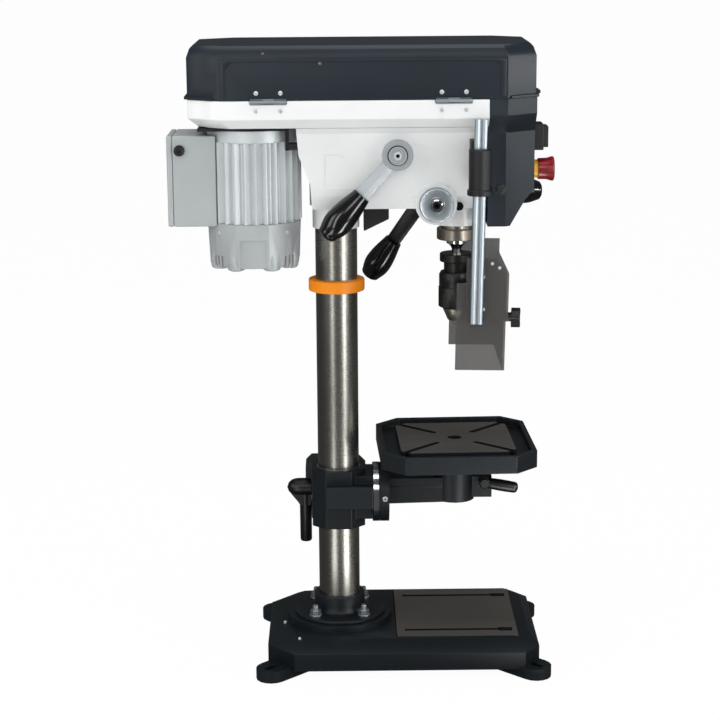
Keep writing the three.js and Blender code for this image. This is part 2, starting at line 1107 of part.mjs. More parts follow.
function headSide() {
  return [
    [head.rearLow, head.low],
    [head.front, head.low],
    [head.front, head.top],
    [head.rearTop, head.top],
    [head.rearTop, head.flareStart],
    [head.rearMid, head.rearMidHeight],
    [head.rearBend, head.rearBendHeight],
  ];
}

function headWindow(side) {
  const outline = [
    [head.windowRear, head.windowLow],
    [head.windowFront, head.windowLow],
    [head.windowFront, head.windowHigh - head.windowCorner],
    [head.windowFront - head.windowCorner, head.windowHigh],
    [head.windowRear, head.windowHigh],
  ];
  const floor = (head.ridgeHalf + head.bodyHalf) / 2 - head.windowDepth;
  const outer = head.bodyHalf + overrun;
  return side < 0 ? sidePrism(outline, -outer, -floor) : sidePrism(outline, floor, outer);
}

function headCasting() {
  const length = [head.rearTop - overrun, head.front + overrun];
  const width = head.topHalf + overrun;
  const outside = common(prism(headSection(), "x", ...length), sidePrism(headSide(), -width, width));
  const cavity = block(
    [head.rearBend + head.wall, head.front - head.wall],
    [-head.lowHalf + head.wall, head.lowHalf - head.wall],
    [head.low + head.floor, head.top + overrun],
  );
  const socket = bar(head.socketRadius, 0, head.low + overrun, "z", [0, 0, 0], facets.wide);
  const socketInside = bar(
    column.radius + head.wall,
    head.low,
    column.top - head.height + head.wall,
    "z",
    [0, 0, 0],
    facets.wide,
  );
  const quillBoss = bar(
    head.bossRadius,
    head.bossLow,
    head.low + head.floor,
    "z",
    [drive.spindleX, 0, 0],
    facets.wide,
  );
  const quillTube = bar(
    quill.radius + head.wall,
    head.low,
    quill.top,
    "z",
    [drive.spindleX, 0, 0],
    facets.wide,
  );
  const feedBoss = bar(
    feed.bossRadius,
    -feed.bossOut,
    feed.farBossOut,
    "y",
    [feedX, 0, feed.height],
    facets.round,
  );
  const feedCore = bar(
    feed.shaftRadius + head.wall,
    -head.lowHalf,
    head.lowHalf,
    "y",
    [feedX, 0, feed.height],
  );
  const tensionBoss = bar(
    tension.bossRadius,
    -tension.bossOut,
    -head.lowHalf,
    "y",
    [tension.x, 0, tension.height],
  );
  const post = bar(
    drive.idlerPost,
    head.low,
    drive.low + drive.step * idlerSteps.length,
    "z",
    [drive.idlerX, 0, 0],
    facets.fine,
  );
  const postWeb = block(
    [drive.idlerX - drive.idlerPost, drive.idlerX + drive.idlerPost],
    [-head.lowHalf, head.lowHalf],
    [head.ledge, head.top - gap],
  );
  const feedBosses = cut(
    feedBoss,
    block([0, head.front + overrun], [-head.lowHalf, head.lowHalf], [-head.front, head.front]),
  );
  const body = join(
    cut(outside, cavity),
    socket,
    socketInside,
    quillBoss,
    quillTube,
    feedBosses,
    feedCore,
    tensionBoss,
    postWeb,
    post,
  );
  return cut(
    body,
    bar(column.radius + gap, -overrun, column.top - head.height + gap, "z", [0, 0, 0], facets.wide),
    bar(
      quill.radius + gap,
      head.bossLow - overrun,
      quill.top + overrun,
      "z",
      [drive.spindleX, 0, 0],
      facets.wide,
    ),
    bar(
      feed.shaftRadius + gap,
      -feed.bossOut - overrun,
      feed.farBossOut + overrun,
      "y",
      [feedX, 0, feed.height],
    ),
    bar(
      columnLock.screwRadius + gap,
      -tension.bossOut - overrun,
      -head.lowHalf + head.wall + overrun,
      "y",
      [tension.x, 0, tension.height],
    ),
    ...carriageBores(),
    motorRoom(),
    headWindow(-1),
    headWindow(1),
  );
}

// Room in the head for the carriage's rods and for the motor as it slides towards the column
function carriageBores() {
  const from = head.rearTop - overrun;
  const to = carriageFront + carriage.travel + carriage.rodReach + overrun;
  return [-1, 1].map((side) =>
    bar(
      carriage.rodRadius + gap,
      from,
      to,
      "x",
      [0, side * carriage.rodOffset, carriage.rodHeight],
      facets.fine,
    ),
  );
}

function motorRoom() {
  const outline = roundEnded(carriage.travel, motor.coverRadius + gap, 0, [drive.motorX, 0]);
  return prism(outline, "z", -overrun, head.top + overrun);
}

// Belt pan on the head, open at its front end where the front housing takes over
function panOutline(rear, halfWidth) {
  return cutRectangle(
    rear,
    housing.rear - gap,
    halfWidth,
    [pan.cornerLength, pan.cornerWidth],
    [0, 0],
  ).filter(
    (point, i, all) => i === 0 || point[0] !== all[i - 1][0] || point[1] !== all[i - 1][1],
  );
}

function beltPan() {
  const outside = loft([
    atHeight(panOutline(pan.lowRear, pan.lowHalf), head.top),
    atHeight(panOutline(pan.rear, pan.halfWidth), pan.knee),
    atHeight(panOutline(pan.rear, pan.halfWidth), pan.rim - gap),
  ]);
  const shrink = (outline) =>
    outline.map(([x, y]) => [x < 0 ? x + pan.wall : x + overrun, y - Math.sign(y) * pan.wall]);
  const inside = loft([
    atHeight(shrink(panOutline(pan.lowRear, pan.lowHalf)), head.top + pan.floor),
    atHeight(shrink(panOutline(pan.rear, pan.halfWidth)), pan.knee + pan.floor / 2),
    atHeight(shrink(panOutline(pan.rear, pan.halfWidth)), pan.rim + overrun),
  ]);
  const floor = [head.top - overrun, head.top + pan.floor + overrun];
  const shaftRoom = motor.shaftRadius + carriage.travel;
  const motorSlot = prism(
    roundEnded(carriage.travel, shaftRoom, 0, [drive.motorX, 0]),
    "z",
    ...floor,
  );
  const spindleHole = bar(spindle.radius + head.wall, ...floor, "z", [drive.spindleX, 0, 0]);
  const postHole = bar(drive.idlerPost + gap, ...floor, "z", [drive.idlerX, 0, 0], facets.fine);
  return cut(outside, inside, motorSlot, spindleHole, postHole, ...hingeNotches());
}

// Belt cover hinged on the near edge of the pan
function coverOutline(inset) {
  return cutRectangle(
    cover.rear + inset,
    cover.front - inset,
    pan.halfWidth - inset,
    [cover.rearCorner, cover.cornerWidth],
    [cover.frontCorner, cover.cornerWidth],
  );
}

function coverSkin(inset, low, drop) {
  return loft([
    atHeight(coverOutline(inset), low),
    atHeight(coverOutline(inset), cover.shoulder - drop),
    atHeight(coverOutline(inset + cover.browInset), cover.brow - drop),
    atHeight(coverOutline(inset + cover.topInset), cover.top - drop),
  ]);
}

function pulleyCover() {
  const lipHeight = [pan.rim, pan.rim + cover.lipHeight];
  const lipOutline = cutRectangle(
    cover.rear - cover.lip,
    cover.front + cover.lip,
    pan.halfWidth,
    [cover.rearCorner, cover.cornerWidth],
    [cover.frontCorner, cover.cornerWidth],
  );
  const middle = block(
    [cover.rear + cover.lipLength, cover.front - cover.lipLength],
    [-pan.halfWidth - overrun, pan.halfWidth + overrun],
    [pan.rim - overrun, pan.rim + cover.lipHeight + overrun],
  );
  const lips = cut(prism(lipOutline, "z", ...lipHeight), middle);
  const tab = block(
    [cover.front, cover.front + cover.lip + cover.tabLength],
    [-cover.tabHalfWidth, cover.tabHalfWidth],
    lipHeight,
  );
  const outside = join(coverSkin(0, pan.rim, 0), lips, tab);
  return cut(outside, coverSkin(cover.wall, pan.rim - overrun, cover.wall), ...hingeNotches());
}

// Hinges: knuckles on one line, the lower leaf on the pan and the upper leaf in the cover
const hingeY = -pan.halfWidth - hinge.axisOut;
const wallInside = -pan.halfWidth + pan.wall + gap;

function hingeNotches() {
  return [hinge.rearStart, hinge.frontStart].map((start) =>
    block(
      [start - gap, start + hinge.length + gap],
      [hingeY - overrun, wallInside],
      [hinge.rise - hinge.web - gap, hinge.rise + hinge.web + gap],
    ),
  );
}

function hingeLeaf(start, upward) {
  const third = hinge.length / 3;
  const spans = upward ? [[start + third + gap, start + 2 * third - gap]] : [
    [start, start + third],
    [start + 2 * third, start + hinge.length],
  ];
  const way = upward ? 1 : -1;
  const leafY = [wallInside, wallInside + hinge.leaf];
  const zSpan = (from, to) => [
    Math.min(way * from, way * to),
    Math.max(way * from, way * to),
  ].map((z) => z + hinge.rise);
  const leaf = block([start + gap, start + hinge.length - gap], leafY, zSpan(gap, hinge.leafHeight));
  const knuckles = spans.map((span) =>
    join(
      bar(hinge.knuckle, ...span, "x", [0, hingeY, hinge.rise], facets.small),
      block(span, [hingeY, wallInside + hinge.leaf], zSpan(gap, hinge.web)),
    ),
  );
  const solid = join(leaf, ...knuckles);
  if (upward) {
    return solid.subtract(
      bar(hinge.pin + gap, start, start + hinge.length, "x", [0, hingeY, hinge.rise], facets.small),
    );
  }
  return solid.add(
    bar(hinge.pin, start, start + hinge.length, "x", [0, hingeY, hinge.rise], facets.small),
  );
}

// Front housing with its chamfered corners and slanted lower end
function housingOutline(half, inset) {
  const rear = inset ? housing.rear - overrun : housing.rear;
  const [front, side] = [housing.front - inset, half - inset];
  return [
    [rear, -side],
    [housingX(housingShares.corner), -side],
    [front, -side + housing.cornerInset],
    [front, side - housing.cornerInset],
    [housingX(housingShares.corner), side],
    [rear, side],
  ];
}

function housingBody(inset) {
  const top = inset ? pan.rim + overrun : pan.rim - gap;
  const rear = inset ? housing.rear - overrun : housing.rear;
  const rings = loft([
    atHeight(housingOutline(housing.lowHalf, inset), housing.low - overrun),
    atHeight(housingOutline(housing.lowHalf, inset), housing.flareLow + inset / 2),
    atHeight(housingOutline(pan.halfWidth, inset), housing.flareHigh + inset / 2),
    atHeight(housingOutline(pan.halfWidth, inset), top),
  ]);
  const side = sidePrism(
    [
      [rear, housing.low + inset],
      [housingX(housingShares.lowFront) - inset / 2, housing.low + inset],
      [housingX(housingShares.bendFront) - inset, housing.bendHeight],
      [housing.front - inset, housing.noseHeight + inset / 2],
      [housing.front - inset, top],
      [rear, top],
    ],
    -pan.halfWidth - overrun,
    pan.halfWidth + overrun,
  );
  return common(rings, side);
}

function buildHead() {
  piece("head_casting", headCasting(), "white", headGroup);
  piece("belt_pan", beltPan(), "white", headGroup);
  piece("pulley_cover", pulleyCover(), "anthracite", headGroup);
  piece("hinge_rear_lower", hingeLeaf(hinge.rearStart, false), "zinc", headGroup);
  piece("hinge_front_lower", hingeLeaf(hinge.frontStart, false), "zinc", headGroup);
  piece("hinge_rear_upper", hingeLeaf(hinge.rearStart, true), "zinc", headGroup);
  piece("hinge_front_upper", hingeLeaf(hinge.frontStart, true), "zinc", headGroup);
  const buttonPlace = new THREE.Matrix4().makeRotationY(slantTurn()).setPosition(...slantMiddle());
  const buttonEnds = [-lowerButton.depth - overrun, lowerButton.proud + overrun];
  const buttonRoom = bar(lowerButton.radius + gap, ...buttonEnds, "x", buttonPlace, facets.fine);
  piece(
    "front_housing",
    cut(housingBody(0), housingBody(housing.wall), buttonRoom),
    "anthracite",
    headGroup,
  );
  const wedge = sidePrism(
    [
      [lamp.rear, lamp.low],
      [lamp.front, lamp.frontLow],
      [lamp.front, head.low - gap],
      [lamp.rear, head.low - gap],
    ],
    lamp.near,
    lamp.far,
  );
  piece("work_lamp", wedge, "black", headGroup);
}

// Middle of the housing's slanted lower face and the turn of that face about Y
const slantMiddle = () => [
  (housingX(housingShares.lowFront) + housingX(housingShares.bendFront)) / 2,
  0,
  (housing.low + housing.bendHeight) / 2,
];
const slantTurn = () => Math.atan2(
  housingX(housingShares.bendFront) - housingX(housingShares.lowFront),
  housing.bendHeight - housing.low,
);

// Switch, emergency stop and lower push button on the front housing
function buildControls() {
  const face = housing.front + gap;
  const shell = block(
    [face, face + switchBox.depth],
    [-switchBox.halfWidth, switchBox.halfWidth],
    [switchBox.low, switchBox.high],
  );
  const pocketFloor = face + switchBox.depth - switchBox.rockerDepth;
  const insideHalf = switchBox.halfWidth - switchBox.rim;
  const pocket = block(
    [pocketFloor, face + switchBox.depth + overrun],
    [-insideHalf, insideHalf],
    [switchBox.low + switchBox.rim, switchBox.high - switchBox.rim],
  );
  piece("switch_housing", cut(shell, pocket), "black", headGroup);
  const rocker = block(
    [pocketFloor + switchBox.travel + gap, face + switchBox.depth + switchBox.rockerDepth],
    [-insideHalf + gap, insideHalf - gap],
    [switchBox.low + switchBox.rim + gap, switchBox.high - switchBox.rim - gap],
  );
  piece("switch_rocker", rocker, "black", headGroup);
  const collar = tube(
    stopButton.collarRadius,
    stopButton.stemRadius + gap,
    0,
    stopButton.collarDepth,
    "x",
  );
  piece("estop_collar", collar, "yellow", headGroup).position.set(face, 0, stopButton.height);
  const headStart = stopButton.collarDepth + gap + stopButton.travel;
  const mushroom = turned(
    [
      [0, gap + stopButton.travel],
      [stopButton.stemRadius, gap + stopButton.travel],
      [stopButton.stemRadius, headStart],
      [stopButton.waistRadius, headStart],
      [stopButton.waistRadius, (headStart + stopButton.depth) / 2],
      [stopButton.headRadius, stopButton.depth - stopButton.travel],
      [stopButton.headRadius, stopButton.depth],
      [0, stopButton.depth],
    ],
    "x",
  );
  piece("estop_button", mushroom, "red", headGroup).position.set(face, 0, stopButton.height);
  const button = bar(
    lowerButton.radius,
    -lowerButton.depth,
    lowerButton.proud,
    "x",
    [0, 0, 0],
    facets.fine,
  );
  const lower = piece("lower_button", button, "red", headGroup);
  lower.position.set(...slantMiddle());
  lower.rotation.y = slantTurn();
}

// Stepped pulleys and the two belts between them
const beltLow = (level) => drive.low + level * drive.step + (drive.step - drive.beltHeight) / 2;

function steppedPulley(radii, bore) {
  const profile = [[bore, drive.low]];
  radii.forEach((radius, level) => {
    const low = drive.low + level * drive.step;
    const grooveLow = low + (drive.step - drive.groove) / 2;
    profile.push([radius, low], [radius, grooveLow], [radius - drive.grooveDepth, grooveLow]);
    profile.push(
      [radius - drive.grooveDepth, grooveLow + drive.groove],
      [radius, grooveLow + drive.groove],
    );
    profile.push([radius, low + drive.step]);
  });
  profile.push([bore, drive.low + radii.length * drive.step], [bore, drive.low]);
  return turned(profile, "z", [0, 0, 0], facets.pulley);
}

function beltOutline(fromX, fromRadius, toX, toRadius) {
  const lean = Math.acos((fromRadius - toRadius) / (toX - fromX));
  const points = [];
  for (let i = 0; i <= facets.fine; i += 1) {
    const turn = lean + ((2 * Math.PI - 2 * lean) * i) / facets.fine;
    points.push([fromX + fromRadius * Math.cos(turn), fromRadius * Math.sin(turn)]);
  }
  for (let i = 0; i <= facets.fine; i += 1) {
    const turn = -lean + (2 * lean * i) / facets.fine;
    points.push([toX + toRadius * Math.cos(turn), toRadius * Math.sin(turn)]);
  }
  return points;
}

function belt(fromX, fromSteps, toX, toSteps, level) {
  const low = beltLow(level);
  const facetRise = 1 / Math.cos(Math.PI / facets.pulley);
  const inner = (radius) => (radius - drive.grooveDepth + gap) * facetRise;
  const [first, second] = [inner(fromSteps[level]), inner(toSteps[level])];
  const outside = beltOutline(fromX, first + drive.beltThickness, toX, second + drive.beltThickness);
  const inside = beltOutline(fromX, first, toX, second);
  return cut(
    prism(outside, "z", low, low + drive.beltHeight),
    prism(inside, "z", low - overrun, low + drive.beltHeight + overrun),
  );
}

function buildDrive() {
  const motorPulley = join(
    steppedPulley(motorSteps, 0),
    bar(motor.shaftRadius, motor.bandTop - motor.shaftRadius, drive.low + gap, "z"),
  );
  piece("motor_pulley", motorPulley, "aluminium", headGroup).position.x = drive.motorX;
  piece(
    "idler_pulley",
    steppedPulley(idlerSteps, drive.idlerPost + gap),
    "aluminium",
    headGroup,
  ).position.x = drive.idlerX;
  piece(
    "spindle_pulley",
    steppedPulley(spindleSteps, spindle.radius + gap),
    "aluminium",
    headGroup,
  ).position.x = drive.spindleX;
  piece(
    "rear_belt",
    belt(drive.motorX, motorSteps, drive.idlerX, idlerSteps, rearBeltStepCount),
    "rubber",
    headGroup,
  );
  piece(
    "front_belt",
    belt(drive.idlerX, idlerSteps, drive.spindleX, spindleSteps, frontBeltStepCount),
    "rubber",
    headGroup,
  );
}

// Motor: finned body, fan cover, terminal box and the carriage that slides on two rods
function finnedOutline() {
  const points = [];
  for (let fin = 0; fin < motor.finCount; fin += 1) {
    finShares.forEach((share, corner) => {
      const turn = (2 * Math.PI * (fin + share)) / motor.finCount;
      const radius = corner % 3 === 0 ? motor.radius : motor.finTip;
      points.push([radius * Math.cos(turn), radius * Math.sin(turn)]);
    });
  }
  return points;
}

function fanCover() {
  const foot = motor.coverLow + motor.coverChamfer;
  const top = motor.bodyLow - gap;
  const floor = motor.coverLow + motor.coverRadius - motor.radius;
  const shell = turned(
    [
      [0, motor.coverLow],
      [motor.coverFootRadius - motor.coverChamfer, motor.coverLow],
      [motor.coverFootRadius, foot],
      [motor.coverRadius, top],
      [motor.radius, top],
      [motor.radius, floor + motor.coverChamfer],
      [motor.radius - motor.coverChamfer, floor],
      [0, floor],
    ],
    "z",
    [0, 0, 0],
    facets.wide,
  );
  const reach = [motor.coverFootRadius - motor.recessDepth, motor.coverRadius + overrun];
  const height = [motor.coverLow - overrun, motor.recessTop];
  const across = [-motor.recessHalf, motor.recessHalf];
  const flip = ([from, to]) => [-to, -from];
  return cut(
    shell,
    block(across, reach, height),
    block(across, flip(reach), height),
    block(reach, across, height),
    block(flip(reach), across, height),
  );
}

function carriageSolid() {
  const height = [carriageLow, carriageLow + carriage.height];
  const deck = block([carriage.rear, carriageFront], [-carriage.halfWidth, carriage.halfWidth], height);
  const disc = bar(carriage.discRadius, ...height, "z", [drive.motorX, 0, 0]);
  const shaftHole = bar(
    motor.shaftRadius + overrun,
    height[0] - overrun,
    height[1] + overrun,
    "z",
    [drive.motorX, 0, 0],
  );
  const rods = [-1, 1].map((side) => {
    const at = [0, side * carriage.rodOffset, carriage.rodHeight];
    const lugX = [carriageFront - carriage.lugThickness, carriageFront];
    const rod = bar(carriage.rodRadius, lugX[0], lugX[1] + carriage.rodReach, "x", at, facets.fine);
    const lugY = [at[1] - carriage.rodRadius, at[1] + carriage.rodRadius];
    return join(rod, block(lugX, lugY, [carriage.rodHeight - carriage.rodRadius, height[1]]));
  });
  return join(cut(join(deck, disc), shaftHole), ...rods);
}

function terminalBox() {
  const boxRear = junction.rear + junction.lidThickness + gap;
  const shell = block(
    [boxRear, junction.front],
    [junction.near, junction.far],
    [junction.low, junction.high],
  );
  const axis = [drive.motorX, 0, 0];
  const saddle = bar(
    motor.coverRadius + gap,
    junction.low - overrun,
    junction.high + overrun,
    "z",
    axis,
    facets.wide,
  );
  const room = block(
    [boxRear - overrun, drive.motorX - motor.coverRadius - junction.lidThickness],
    [junction.near + junction.corner, junction.far - junction.corner],
    [junction.low + junction.corner, junction.high - junction.corner],
  );
  return cut(shell, saddle, room);
}

function buildMotor() {
  const motorGroup = groupAt(headGroup, drive.motorX, 0, 0);
  const body = join(
    prism(finnedOutline(), "z", motor.bodyLow, motor.bandLow),
    cut(
      bar(motor.bandRadius, motor.bandLow - gap, motor.bandTop, "z", [0, 0, 0], facets.wide),
      bar(
        motor.shaftRadius + gap,
        motor.bandTop - motor.shaftRadius - gap,
        motor.bandTop + overrun,
        "z",
      ),
    ),
  );
  piece("motor_body", body, "castGrey", motorGroup);
  piece("fan_cover", fanCover(), "castGrey", motorGroup);
  piece("motor_carriage", carriageSolid(), "black", headGroup);
  piece("terminal_box", terminalBox(), "castGrey", headGroup);
  const lid = block(
    [junction.rear, junction.rear + junction.lidThickness],
    [junction.near, junction.far],
    [junction.low, junction.high],
  );
  piece("terminal_lid", lid, "castGrey", headGroup);
  const gland = bar(
    junction.glandRadius,
    junction.near - gap - junction.glandLength,
    junction.near - gap,
    "y",
    [0, 0, 0],
    facets.fine,
  );
  piece(
    "cable_gland",
    gland,
    "black",
    headGroup,
  ).position.set(junction.glandX, 0, junction.glandHeight);
}

// A grip that swells from its neck and narrows to a rounded tip, along X
function gripSolid(length, bore) {
  const belly = length * grip.bellyShare;
  const outside = turned(
    [
      [0, 0],
      [grip.neck, 0],
      [grip.belly, belly],
      [(grip.belly + grip.tip) / 2, (length + belly) / 2],
      [grip.tip, length - grip.tip / 2],
      [0, length],
    ],
    "x",
    [0, 0, 0],
    facets.fine,
  );
  return outside.subtract(bore);
}

// A flat arm from a hub along X, with its hub at the origin and its thickness along Y
function flatArm(width, thickness, end) {
  return block([0, end], [-thickness / 2, thickness / 2], [-width / 2, width / 2]);
}

function buildTensionLever() {
  const near = -tension.bossOut - gap;
  const lever = groupAt(headGroup, tension.x, near - tension.hubThickness / 2, tension.height);
  lever.rotation.y = -tension.angle;
  const half = tension.hubThickness / 2;
  const hub = bar(tension.hubRadius, -half, half, "y");
  const cap = bar(tension.capRadius, -half - tension.capThickness, half, "y");
  const armSolid = flatArm(
    tension.armWidth,
    tension.armThickness,
    tension.armEnd + tension.gripLength / 4,
  );
  const screw = bar(columnLock.screwRadius, half - gap, half + head.wall, "y", [0, 0, 0], facets.small);
  piece("tension_lever", join(hub, cap, armSolid, screw), "zinc", lever);
  const socket = block(
    [-overrun, tension.armEnd - tension.gripStart + tension.gripLength / 4 + gap],
    [-tension.armThickness / 2 - gap, tension.armThickness / 2 + gap],
    [-tension.armWidth / 2 - gap, tension.armWidth / 2 + gap],
  );
  piece(
    "tension_grip",
    gripSolid(tension.gripLength, socket),
    "black",
    lever,
  ).position.x = tension.gripStart;
}

// Quill, spindle and chuck
function buildSpindle() {
  const group = groupAt(headGroup, drive.spindleX, 0, 0);
  const quillSolid = turned(
    [
      [quill.bore, quill.collarLow],
      [quill.collarRadius, quill.collarLow],
      [quill.collarRadius, quill.collarTop],
      [quill.radius, quill.collarTop],
      [quill.radius, quill.top],
      [quill.bore, quill.top],
      [quill.bore, quill.collarLow],
    ],
    "z",
    [0, 0, 0],
    facets.wide,
  );
  piece("quill", quillSolid, "steel", group);
  const noseTop = quill.collarLow - gap;
  const shaft = turned(
    [
      [0, spindle.taperEnd],
      [spindle.neckRadius, spindle.taperEnd],
      [spindle.neckRadius, spindle.neckTop],
      [spindle.noseRadius, spindle.noseLow],
      [spindle.noseRadius, noseTop],
      [spindle.radius, noseTop],
      [spindle.radius, spindle.splineTop],
      [0, spindle.splineTop],
    ],
    "z",
  );
  piece("spindle", shaft, "steel", group);
  const jawTop = chuck.jawTip + chuck.jawLength + chuck.jawTravel;
  const body = turned(
    [
      [spindle.neckRadius + gap, chuck.top],
      [chuck.flangeRadius, chuck.top],
      [chuck.flangeRadius, chuck.flangeLow],
      [chuck.neckRadius, chuck.flangeLow],
      [chuck.neckRadius, chuck.sleeveLow],
      [chuck.coneRadius, chuck.sleeveLow],
      [chuck.noseRadius, chuck.noseLow],
      [chuck.mouth, chuck.noseLow],
      [chuck.mouth, jawTop],
      [0, jawTop],
      [0, spindle.taperEnd - gap],
      [spindle.neckRadius + gap, spindle.taperEnd - gap],
      [spindle.neckRadius + gap, chuck.top],
    ],
    "z",
  );
  const bores = [...Array(jawCount).keys()].map(
    (i) => jawBar(i, chuck.jawRadius + gap, -overrun, chuck.jawLength + chuck.jawTravel + gap),
  );
  piece("chuck_body", cut(body, ...bores), "chuckBlack", group);
  const sleeveBore = chuck.neckRadius + gap;
  const sleeve = turned(
    [
      [sleeveBore, chuck.sleeveLow + gap],
      [chuck.knurlRadius, chuck.sleeveLow + gap],
      [chuck.knurlRadius, chuck.knurlTop],
      [chuck.sleeveRadius, chuck.knurlTop],
      [chuck.sleeveRadius, chuck.sleeveTop],
      [sleeveBore, chuck.sleeveTop],
      [sleeveBore, chuck.sleeveLow + gap],
    ],
    "z",
  );
  piece("chuck_sleeve", sleeve, "chuckBlack", group);
  for (let i = 0; i < jawCount; i += 1) {
    piece(`jaw_${i + 1}`, jawBar(i, chuck.jawRadius, 0, chuck.jawLength), "steel", group);
  }
}

// A bar on the leaning axis of one jaw, measured from the jaw's tip
function jawBar(number, radius, from, to) {
  const place = new THREE.Matrix4()
    .makeRotationZ((2 * Math.PI * number) / jawCount)
    .multiply(new THREE.Matrix4().makeTranslation(chuck.jawSpread, 0, chuck.jawTip))
    .multiply(new THREE.Matrix4().makeRotationY(chuck.jawLean));
  return bar(radius, from, to, "z", place, facets.hex);
}

// Feed shaft, its return spring's cap, and the three-lever hub
function buildFeed() {
  const group = groupAt(headGroup, feedX, 0, feed.height);
  const capFace = -feed.bossOut - gap;
  const capOut = capFace - feed.capThickness;
  const shaft = bar(feed.shaftRadius, capOut + feed.capWall + gap, feed.hubFar - feed.capWall, "y");
  piece("feed_shaft", shaft, "steel", group);
  const cap = join(
    bar(feed.capRadius, capOut, capFace, "y"),
    bar(feed.nutRadius, capOut - feed.nutThickness, capFace, "y", [0, 0, 0], facets.hex),
  );
  const room = bar(feed.capRadius - feed.capWall, capOut + feed.capWall, capFace + overrun, "y");
  piece("spring_cap", cut(cap, room), "zinc", group);
  const hubStart = feed.farBossOut + gap;
  let hub = bar(feed.hubRadius, hubStart, feed.hubFar, "y");
  for (let i = 0; i < leverCount; i += 1) {
    const lever = groupAt(group, 0, feed.leverPlane, 0);
    lever.rotation.y = -(feed.firstAngle + (2 * Math.PI * i) / leverCount);
    lever.rotation.z = feed.leverLean;
    const socket = block(
      [-overrun, feed.armEnd - feed.gripStart + feed.gripLength / 4 + gap],
      [-feed.armThickness / 2 - gap, feed.armThickness / 2 + gap],
      [-feed.armWidth / 2 - gap, feed.armWidth / 2 + gap],
    );
    piece(
      `feed_grip_${i + 1}`,
      gripSolid(feed.gripLength, socket),
      "black",
      lever,
    ).position.x = feed.gripStart;
    hub = hub.add(feedArm(lever.rotation));
  }
  hub = hub.subtract(
    bar(feed.shaftRadius + gap, hubStart - overrun, feed.hubFar - feed.capWall + gap, "y"),
  );
  piece("feed_hub", hub, "black", group);
}

function feedArm(rotation) {
  const end = feed.armEnd + feed.gripLength / 4;
  const geometry = new THREE.BoxGeometry(
    end,
    feed.armThickness,
    feed.armWidth,
  ).translate(end / 2, 0, 0);
  const turn = new THREE.Matrix4().makeRotationFromEuler(rotation);
  return toSolid(geometry.applyMatrix4(turn).translate(0, feed.leverPlane, 0));
}

// Guard cradle on the head, the sleeve that swings in it, the twin rod and the two shields
function guardSleeve() {
  const lipLength = guard.holderRadius / 2;
  const screwHeight = guard.screwHeight + guard.screwRadius;
  const reach = guard.holderRadius + guard.screwLength;
  const screw = bar(guard.screwRadius, 0, reach, "x", [0, 0, screwHeight], facets.small);
  const sleeve = join(
    bar(guard.holderRadius, guard.holderLow, guard.holderTop, "z"),
    bar(sleeveLip, guard.holderLow, guard.holderLow + lipLength, "z"),
    screw,
  );
  return cut(sleeve, bar(rodRoom, guard.holderLow - overrun, guard.holderTop + overrun, "z"));
}

const sleeveLip = guard.holderRadius + guard.holderLip;
const rodRoom = guard.rodOffset + guard.rodRadius + 3 * gap;

function guardCradle() {
  const reach = -guard.y - head.lowHalf;
  const cradle = block(
    [-guard.cradleHalf, guard.cradleHalf],
    [0, reach],
    [guard.cradleLow, guard.cradleTop],
  );
  const seat = bar(guard.holderRadius + gap, guard.cradleLow - overrun, guard.cradleTop + overrun, "z");
  return cut(cradle, headNeighbour(), seat);
}

// The room of the head casting beside the guard cradle, in the cradle's own place
function headNeighbour() {
  const section = headSection().map(([y, z]) => [y - guard.y + Math.sign(y) * 2 * gap, z]);
  return prism(section, "x", -guard.x, guard.x);
}

function twinRod() {
  const tubes = [-1, 1].map(
    (side) => bar(
      guard.rodRadius,
      guard.rodLow,
      guard.rodTop,
      "z",
      [side * guard.rodOffset, 0, 0],
      facets.small,
    ),
  );
  const web = block(
    [-guard.rodOffset, guard.rodOffset],
    [-guard.rodRadius / 2, guard.rodRadius / 2],
    [guard.rodLow, guard.rodTop],
  );
  return join(...tubes, web);
}

function shieldSolid(rear, front, near, far, low, high) {
  const outside = block([rear, front], [near, far], [low, high]);
  const inside = block(
    [rear - overrun, front - shield.wall],
    [near + shield.wall, far - shield.wall],
    [low - overrun, high + overrun],
  );
  return cut(outside, inside);
}

function buildGuard() {
  const holder = groupAt(headGroup, guard.x, guard.y, 0);
  piece("guard_cradle", guardCradle(), "black", holder);
  piece("guard_sleeve", guardSleeve(), "black", holder);
  const swing = groupAt(holder, 0, 0, (guard.holderLow + guard.holderTop) / 2);
  swing.rotation.y = guard.lean;
  const hanging = groupAt(swing, 0, 0, -(guard.holderLow + guard.holderTop) / 2);
  piece("guard_rod", twinRod(), "aluminium", hanging);
  const near = guard.rodRadius + gap;
  const slope = sidePrism(
    [
      [shield.front - shield.slopeRun, shield.top],
      [shield.front + overrun, shield.top - shield.slopeDrop],
      [shield.front + overrun, shield.top + overrun],
      [shield.front - shield.slopeRun, shield.top + overrun],
    ],
    -overrun,
    shield.width + overrun,
  );
  const upper = cut(
    shieldSolid(shield.rear, shield.front, near, near + shield.width, shield.low, shield.top),
    slope,
    bar(
      shield.screwRadius + gap,
      0,
      shield.front + overrun,
      "x",
      [0, near + shield.slotY, shield.knobHeight],
      facets.fine,
    ),
  );
  piece("upper_shield", upper, "black", hanging);
  const step = shield.wall + gap;
  const slot = block(
    [0, shield.front + overrun],
    [near + shield.slotY - shield.slotWidth / 2, near + shield.slotY + shield.slotWidth / 2],
    [shield.slotLow, shield.slotHigh],
  );
  const lower = cut(
    shieldSolid(
      shield.lowerRear,
      shield.front - step,
      near + step,
      near + shield.width - step,
      shield.lowerLow,
      shield.lowerTop,
    ),
    slot,
  );
  piece("lower_shield", lower, "black", hanging);
  const knob = piece("shield_knob", shieldKnob(), "black", hanging);
  knob.position.set(0, near + shield.slotY, shield.knobHeight);
}

